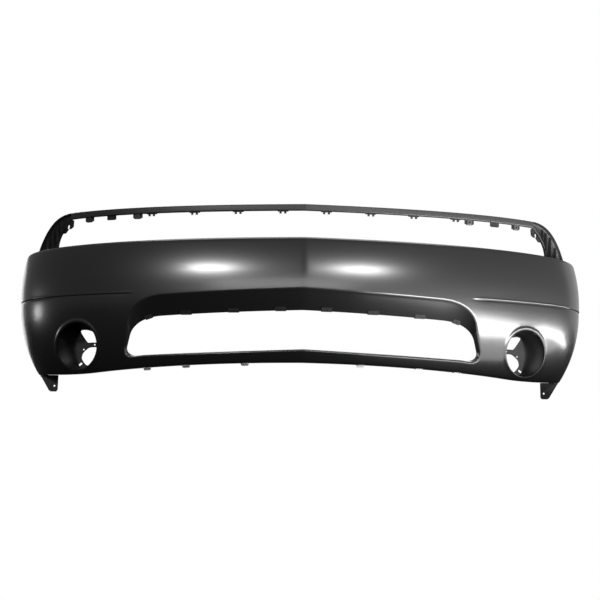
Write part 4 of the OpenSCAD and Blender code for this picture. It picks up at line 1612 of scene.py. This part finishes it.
@dataclass
class Fixings:
    """Screws, nuts and clips."""

    form: FaceForm
    tree: FixingTree
    sheet: float = 1.2
    gap: float = 0.5
    bore: float = 2.4
    clip_xs: tuple[float, ...] = (70.0, 212.0, 352.0, 492.0)
    tab_nut_xs: Pair = (539.0, 705.0)
    chin_nut_xs: tuple[float, ...] = (180.0, 365.0, 490.0)
    header_screw_xs: Pair = (736.0, 757.0)
    arch_nut_zs: tuple[float, ...] = (150.0, 250.0, 350.0)

    def screw(self, length: float) -> bpy.types.Mesh:
        """Pan-head screw with a washer flange, a cross recess and a rolled thread.

        Args:
            length: Length under the head.

        Returns:
            The template mesh.
        """
        shell = Shell()
        thread = [(0, -length), (0.9, -length + 0.2), (1.5, -length + 1.6)]
        z = -length + 1.8
        while z < -0.8:
            thread += [(1.9, z), (1.5, z + 0.45)]
            z += 0.9
        head = [(1.6, -0.1), (4.4, 0), (4.5, 0.3), (4.4, 1.0), (3.8, 1.2)]
        head += [(3.7, 1.9), (3.4, 2.4), (2.9, 2.6), (2.1, 2.6)]
        shell.turned(thread + head, Matrix.Identity(4), 24)
        shell.turned([(2.1, 2.6), (2.0, 1.5), (0, 1.1)], Matrix.Identity(4), 24)
        for k in range(4):
            wedge = Matrix.Rotation(math.radians(45 + 90 * k), 4, "Z")
            shell.box((0.75, -0.75, 1.2), (2.3, 0.75, 2.55), wedge, 0.5)
        return shell.mesh("pan_head_screw")

    def u_nut(self, wide: float, reach: float, grip: float, bore: float | None = None,
              flap: float = 0.0) -> bpy.types.Mesh:
        """Folded sheet nut that grips an edge.

        Args:
            wide: Width along the edge.
            reach: Length of its legs.
            grip: Thickness of the edge that it grips.
            bore: Radius of its hole.
            flap: Length of the flap that hangs from its fold.

        Returns:
            The template mesh.
        """
        shell = Shell()
        if flap:
            place = lay_on((0, self.gap + self.sheet / 2, -self.gap - 0.5), tilt=90)
            tab = softened([(-wide / 2, 1), (-wide / 2, -flap), (wide / 2, -flap), (wide / 2, 1)], 1)
            shell.plate(tab, self.sheet, place)
        b = bore or self.bore
        low, high = -self.gap - self.sheet / 2, grip + self.gap + self.sheet / 2
        h = wide / 2
        leg = [(-h, 0), (-h, -reach + 2), (-h + 2, -reach), (h - 2, -reach), (h, -reach + 2), (h, 0)]
        hole = circle((0, -reach / 2), b, 24)
        for z in (low, high):
            shell.plate(leg, self.sheet, Matrix.Translation((0, 0, z)), [hole])
        mid, radius = (low + high) / 2, (high - low) / 2
        rows = []
        for x in (-h, h):
            ring = []
            for reach_out in (radius + self.sheet / 2, radius - self.sheet / 2):
                furthest = self.gap + self.sheet - (radius + self.sheet / 2 - reach_out)
                arc = [(min(reach_out * math.cos(a), furthest), mid + reach_out * math.sin(a))
                       for a in np.radians(np.linspace(-90, 90, 13))]
                ring += arc if reach_out > radius else arc[::-1]
            rows.append([(x, y, z) for y, z in ring])
        grid = np.array(rows)
        shell.grid(np.concatenate([grid, grid[:, :1]], axis=1))
        for row in grid:
            shell.grid(np.stack([row[:13], row[:12:-1]], 1))
        boss = [(b, high), (b + 1.4, high), (b + 1.6, high + 0.4)]
        boss += [(b + 1.2, high + 3.1), (b, high + 3.1), (b, high)]
        shell.turned(boss, Matrix.Translation((0, -reach / 2, 0)), 24)
        return shell.mesh("u_nut")

    def snap_clip(self) -> bpy.types.Mesh:
        """Saddle clip with two sprung fingers that hang below the header bar."""
        shell, wall = Shell(), self.form.shape.wall
        still = Matrix.Identity(4)
        shell.box((-17, 4.2, wall + 0.3), (17, 15.2, wall + 1.8), still)
        shell.box((-17, 13.2, -1.8), (17, 15.2, wall + 1.0), still)
        shell.box((-17, 6, -1.8), (17, 15.2, -0.3), still)
        for x in (-11.0, 4.0):
            side = [(8, -0.9), (8, -9), (9.4, -9), (12.0, -7.6), (12.0, -6.9), (10.2, -6.5), (10.2, -0.9)]
            turn = Matrix(((0, 0, 1, x + 3.5), (1, 0, 0, 0), (0, 1, 0, 0), (0, 0, 0, 1)))
            shell.plate(side, 7, turn)
        return shell.mesh("snap_clip")

    def _sided(self, side: Side, places: list[Matrix]) -> list[Matrix]:
        """Mirrors places to a side, and keeps them free of any mirror of their own."""
        if side is Side.RIGHT:
            return places
        flip = mirrored(side)
        return [flip @ p @ flip for p in places]

    def _on_both(self, places: list[Matrix]) -> list[Matrix]:
        """The places of the left side and then those of the right."""
        return [p for side in Side for p in self._sided(side, places)]

    def _put(self, node: str, places: list[Matrix], template: bpy.types.Mesh, finish: bpy.types.Material) -> None:
        """Sets the copies, and says which node they stand for.

        Args:
            node: The node.
            places: Where each copy goes.
            template: The mesh to copy.
            finish: The material.
        """
        adopt(self.tree.set(f"{node}_set", places, template, finish), node)

    def build(self, palette: Palette) -> None:
        """Makes every fixing.

        Args:
            palette: The finishes.
        """
        for side in Side:
            self._side_fixings(side, palette)
        s, f = self.form.shape, self.form
        low = s.header_top - s.header_height
        clips = [at_back(f, x, s.header_setback, low) for x in self.clip_xs]
        self._put("header_snap_clips", self._on_both(clips), self.snap_clip(), palette.bracket)
        hung = Matrix.Rotation(-math.pi / 2, 4, "X")
        tabs = [at_back(f, x, s.header_setback + 10.4 - s.wall / 2, low - 14) @ hung for x in self.tab_nut_xs]
        nut = self.u_nut(18, 14, s.wall)
        self._put("lamp_tab_nuts", self._on_both(tabs), nut, palette.dark_steel)
        chin = []
        for x in self.chin_nut_xs:
            sink = float(f.barrel(f.bottom_edge(np.array(x)))) + s.chin_flange
            t = f.t_of(np.array(x), np.array(sink))
            z = float(f.bottom_edge(f.plan(t)[0]))
            slope = math.atan(100 * x / 950 / 950)
            place = at_back(f, 0, sink, z, at=float(t)) @ Matrix.Rotation(slope, 4, "Y")
            chin.append(place @ Matrix.Translation((0, 0.8, 0)))
        nut = self.u_nut(24, 14.8, s.wall, flap=7)
        self._put("chin_nuts", self._on_both(chin), nut, palette.pale_steel)

    def _side_fixings(self, side: Side, palette: Palette) -> None:
        """Makes the screws and arch nuts of one side.

        Args:
            side: Which side.
            palette: The finishes.
        """
        s, f = self.form.shape, self.form
        foot = s.top_z - 8
        bucket = [lay_on((x, y + 4.5, z), tilt=-90) for x, y, z in boss_places(f)]
        name, steel = side.word, palette.steel
        self._put(f"{name}_bucket_screws", self._sided(side, bucket), self.screw(12), steel)
        pillar = [at_back(f, x, s.header_setback + 11, s.header_top + 0.1) for x in self.header_screw_xs]
        sink = LampPillar.screw_sink
        pillar += [at_back(f, 0, sink, foot + s.wall + 0.1, at=t) for t in LampPillar.screw_ts]
        self._put(f"{name}_pillar_screws", self._sided(side, pillar), self.screw(10), steel)
        bracket = FootBracket(f, side)
        feet = [lay_on(bracket.screw_point(t), tilt=180) @ Matrix.Translation((0, 0, s.wall + 0.1))
                for t in bracket.screw_ts]
        self._put(f"{name}_foot_screws", self._sided(side, feet), self.screw(9), steel)
        arch = [lay_on((s.half_width - float(f.barrel(z)) - s.arch_flange, s.rear_y, z), tilt=90)
                @ Matrix.Rotation(math.pi / 2, 4, "Z") for z in self.arch_nut_zs]
        self._put(f"{name}_arch_nuts", self._sided(side, arch), self.u_nut(20, 14, s.wall), steel)

    def intake_clips(self, palette: Palette, skin: BumperSkin) -> None:
        """Makes the clips on the rear edge of the intake's upper band.

        Args:
            palette: The finishes.
            skin: The skin, for the band's line.
        """
        s, f = self.form.shape, self.form
        pieces = []
        for x, wide in ((71.0, 34.0), (217.0, 34.0), (366.0, 34.0), (484.0, 24.0)):
            corner = x > 440
            outer = skin.intake_top(min(x, 430), False) - 12.3 * corner
            inner = skin.intake_top(min(x, 440), True) - 7.6 * corner
            front = float(f.face_y(np.array(x), np.array(outer))) + 0.8
            back = float(f.face_y(np.array(x), np.array(inner))) + s.band_depth
            near = [float(f.face_y(np.array(x + d), np.array(inner))) for d in (-5, 5)]
            yaw = math.atan2(near[1] - near[0], 10)
            slope = math.degrees(math.atan2(inner - outer, (back - front) * math.cos(yaw)))
            place = lay_on((x, back, inner), heading=math.degrees(yaw))
            place = place @ Matrix.Rotation(math.radians(17.5 * corner), 4, "Y")
            pieces.append((place @ Matrix.Rotation(math.radians(slope), 4, "X"), wide))
        for label, width in (("wide", 34), ("narrow", 24)):
            places = self._on_both([p for p, w in pieces if w == width])
            clip = self.u_nut(width, 15, 2.4, 2)
            piece = self.tree.set(f"intake_clips_{label}", places, clip, palette.dark_steel)
            adopt(piece, "intake_grille_clips")


# ---- Studio --------------------------------------------------------------------------------------


@dataclass(frozen=True)
class Softbox:
    """A soft studio light, aimed at the cover. Its brightness is that of its face."""

    name: str
    place: Triple
    aim: Triple
    size: Pair
    brightness: float
    turn: float = 0.0

    def build(self) -> None:
        """Makes the light."""
        data = bpy.data.lights.new(self.name, "AREA")
        data.shape = "RECTANGLE"
        data.size, data.size_y = self.size
        data.energy = self.brightness * math.pi * self.size[0] * self.size[1]
        obj = bpy.data.objects.new(self.name, data)
        direction = Vector(self.aim) - Vector(self.place)
        facing = direction.to_track_quat("-Z", "Y").to_matrix().to_4x4()
        turn = Matrix.Rotation(math.radians(self.turn), 4, "Z")
        obj.matrix_world = Matrix.Translation(self.place) @ (turn @ facing if self.turn else facing)
        obj.visible_camera = False
        bpy.context.scene.collection.objects.link(obj)


@dataclass
class Studio:
    """Floor, backdrop tone, lights and camera."""

    floor_half: float = 9.0
    air: float = 0.20
    target: Triple = (0.0, -0.1459, 0.330)
    azimuth: float = -1.213
    elevation: float = -7.707
    roll: float = 0.849
    distance: float = 4.489
    lens: float = 84.9
    shift: Pair = (-0.0055, -0.0231)
    lights: tuple[Softbox, ...] = (
        Softbox("key_left", (-1.88, -3.46, 1.59), (-0.1, -0.2, 0.37), (0.62, 0.28), 110),
        Softbox("key_right", (1.55, -3.62, 1.60), (0.1, -0.2, 0.37), (0.56, 0.28), 110),
        Softbox("front_strip", (-0.2, -3.4, 0.74), (0.0, -0.2, 0.33), (3.0, 0.18), 13),
        Softbox("table_right", (1.595, -1.316, 0.02), (1.595, -1.316, 1.0), (1.57, 2.2), 25, 22.4),
        Softbox("table_side", (2.25, 0.05, 0.02), (2.25, 0.05, 1.0), (1.2, 0.9), 25),
        Softbox("bounce_right", (1.05, -0.62, 0.015), (1.05, -0.62, 1.0), (1.3, 1.1), 4, 22.4),
        Softbox("overhead", (0.0, 0.3, 3.0), (0, 0.0, 0.3), (3.0, 1.6), 4.0),
        Softbox("side_left", (-3.3, 0.56, 0.26), (-0.86, 0.0, 0.26), (0.5, 0.34), 9),
        Softbox("rear_left", (-2.1, 2.4, 0.5), (-0.93, 0.13, 0.27), (1.0, 0.9), 1.6),
        Softbox("side_right", (2.6, 1.9, 0.9), (0.93, 0.13, 0.3), (2.0, 1.3), 0.45),
        Softbox("rear", (0.0, 3.2, 1.6), (0, 0, 0.3), (3.0, 1.2), 1.6),
    )

    def build(self) -> None:
        """Makes the studio."""
        h = self.floor_half
        mesh = bpy.data.meshes.new("studio_floor")
        mesh.from_pydata([(-h, -h, 0), (h, -h, 0), (h, h, 0), (-h, h, 0)], [], [(0, 1, 2, 3)])
        floor = bpy.data.objects.new("studio_floor", mesh)
        bpy.context.scene.collection.objects.link(floor)
        mesh.materials.append(self._floor_paint())
        self._world()
        for light in self.lights:
            light.build()
        self._camera()

    @staticmethod
    def _floor_paint() -> bpy.types.Material:
        """Pale paint that a view from below the floor passes through, and near-black to every ray but the
        camera's, which paints shade into the floor's reflections in the cover and into the light it bounces.
        """
        paint = bpy.data.materials.new("FloorPaint")
        paint.use_nodes = True
        n, link = paint.node_tree.nodes, paint.node_tree.links.new
        shader = n["Principled BSDF"]
        shader.inputs["Base Color"].default_value = (0.82, 0.82, 0.82, 1)
        shader.inputs["Roughness"].default_value = 0.9
        # Near-black for all rays but the camera's: painted shade in the floor's reflections and in its bounce
        # light.
        dark = n.new("ShaderNodeBsdfDiffuse")
        dark.inputs["Color"].default_value = (0.03, 0.03, 0.03, 1)
        path = n.new("ShaderNodeLightPath")
        seen = n.new("ShaderNodeMixShader")
        link(path.outputs["Is Camera Ray"], seen.inputs[0])
        link(dark.outputs[0], seen.inputs[1])
        link(shader.outputs[0], seen.inputs[2])
        clear = n.new("ShaderNodeBsdfTransparent")
        geometry = n.new("ShaderNodeNewGeometry")
        mix = n.new("ShaderNodeMixShader")
        link(geometry.outputs["Backfacing"], mix.inputs[0])
        link(seen.outputs[0], mix.inputs[1])
        link(clear.outputs[0], mix.inputs[2])
        link(mix.outputs[0], n["Material Output"].inputs["Surface"])
        return paint

    def _world(self) -> None:
        """White backdrop, with a dimmer glow that lights the cover."""
        world = bpy.data.worlds.new("StudioAir")
        world.use_nodes = True
        n, link = world.node_tree.nodes, world.node_tree.links.new
        glow = n["Background"]
        glow.inputs["Color"].default_value = (1, 1, 1, 1)
        glow.inputs["Strength"].default_value = self.air
        white = n.new("ShaderNodeBackground")
        white.inputs["Strength"].default_value = 1.0
        white.inputs["Color"].default_value = (1, 1, 1, 1)
        path = n.new("ShaderNodeLightPath")
        mix = n.new("ShaderNodeMixShader")
        link(path.outputs["Is Camera Ray"], mix.inputs[0])
        link(glow.outputs[0], mix.inputs[1])
        link(white.outputs[0], mix.inputs[2])
        link(mix.outputs[0], n["World Output"].inputs["Surface"])
        scene = bpy.context.scene
        scene.world = world
        scene.view_settings.view_transform = "Standard"
        scene.view_settings.look = "None"

    def _camera(self) -> None:
        """Makes the camera."""
        a, e, r = (math.radians(v) for v in (self.azimuth, self.elevation, self.roll))
        back = Vector((math.sin(a) * math.cos(e), -math.cos(a) * math.cos(e), math.sin(e)))
        right = Vector((math.cos(a), math.sin(a), 0))
        up = back.cross(right)
        x_axis = right * math.cos(r) + up * math.sin(r)
        y_axis = up * math.cos(r) - right * math.sin(r)
        data = bpy.data.cameras.new("studio_camera")
        data.lens = self.lens
        data.sensor_width = 36.0
        data.shift_x, data.shift_y = self.shift
        data.clip_end = 100.0
        camera = bpy.data.objects.new("studio_camera", data)
        turn = Matrix((x_axis, y_axis, back)).transposed().to_4x4()
        camera.matrix_world = Matrix.Translation(Vector(self.target) + back * self.distance) @ turn
        bpy.context.scene.collection.objects.link(camera)
        bpy.context.scene.camera = camera


# ---- Assembly ------------------------------------------------------------------------------------


def main() -> None:
    """Builds the cover and the studio."""
    logging.basicConfig(level=logging.INFO, format="%(name)s: %(message)s")
    form = FaceForm(CoverShape())
    palette = Palette(NodeGroups())
    Studio().build()
    skin = BumperSkin(form)
    adopt(skin.build(palette), "bumper_skin")
    bar = HeaderBar(form)
    adopt(bar.build(palette), "header_bar")
    adopt(bar.build_tabs(palette), "header_bar")
    for side in Side:
        adopt(LampPillar(form, side).build(palette), f"{side.word}_lamp_pillar")
        adopt(FogBucket(form, side).build(palette), f"{side.word}_fog_bucket")
        adopt(FootBracket(form, side).build(palette), f"{side.word}_foot_bracket")
    fixings = Fixings(form, FixingTree())
    fixings.build(palette)
    fixings.intake_clips(palette, skin)


if __name__ == "__main__":
    main()
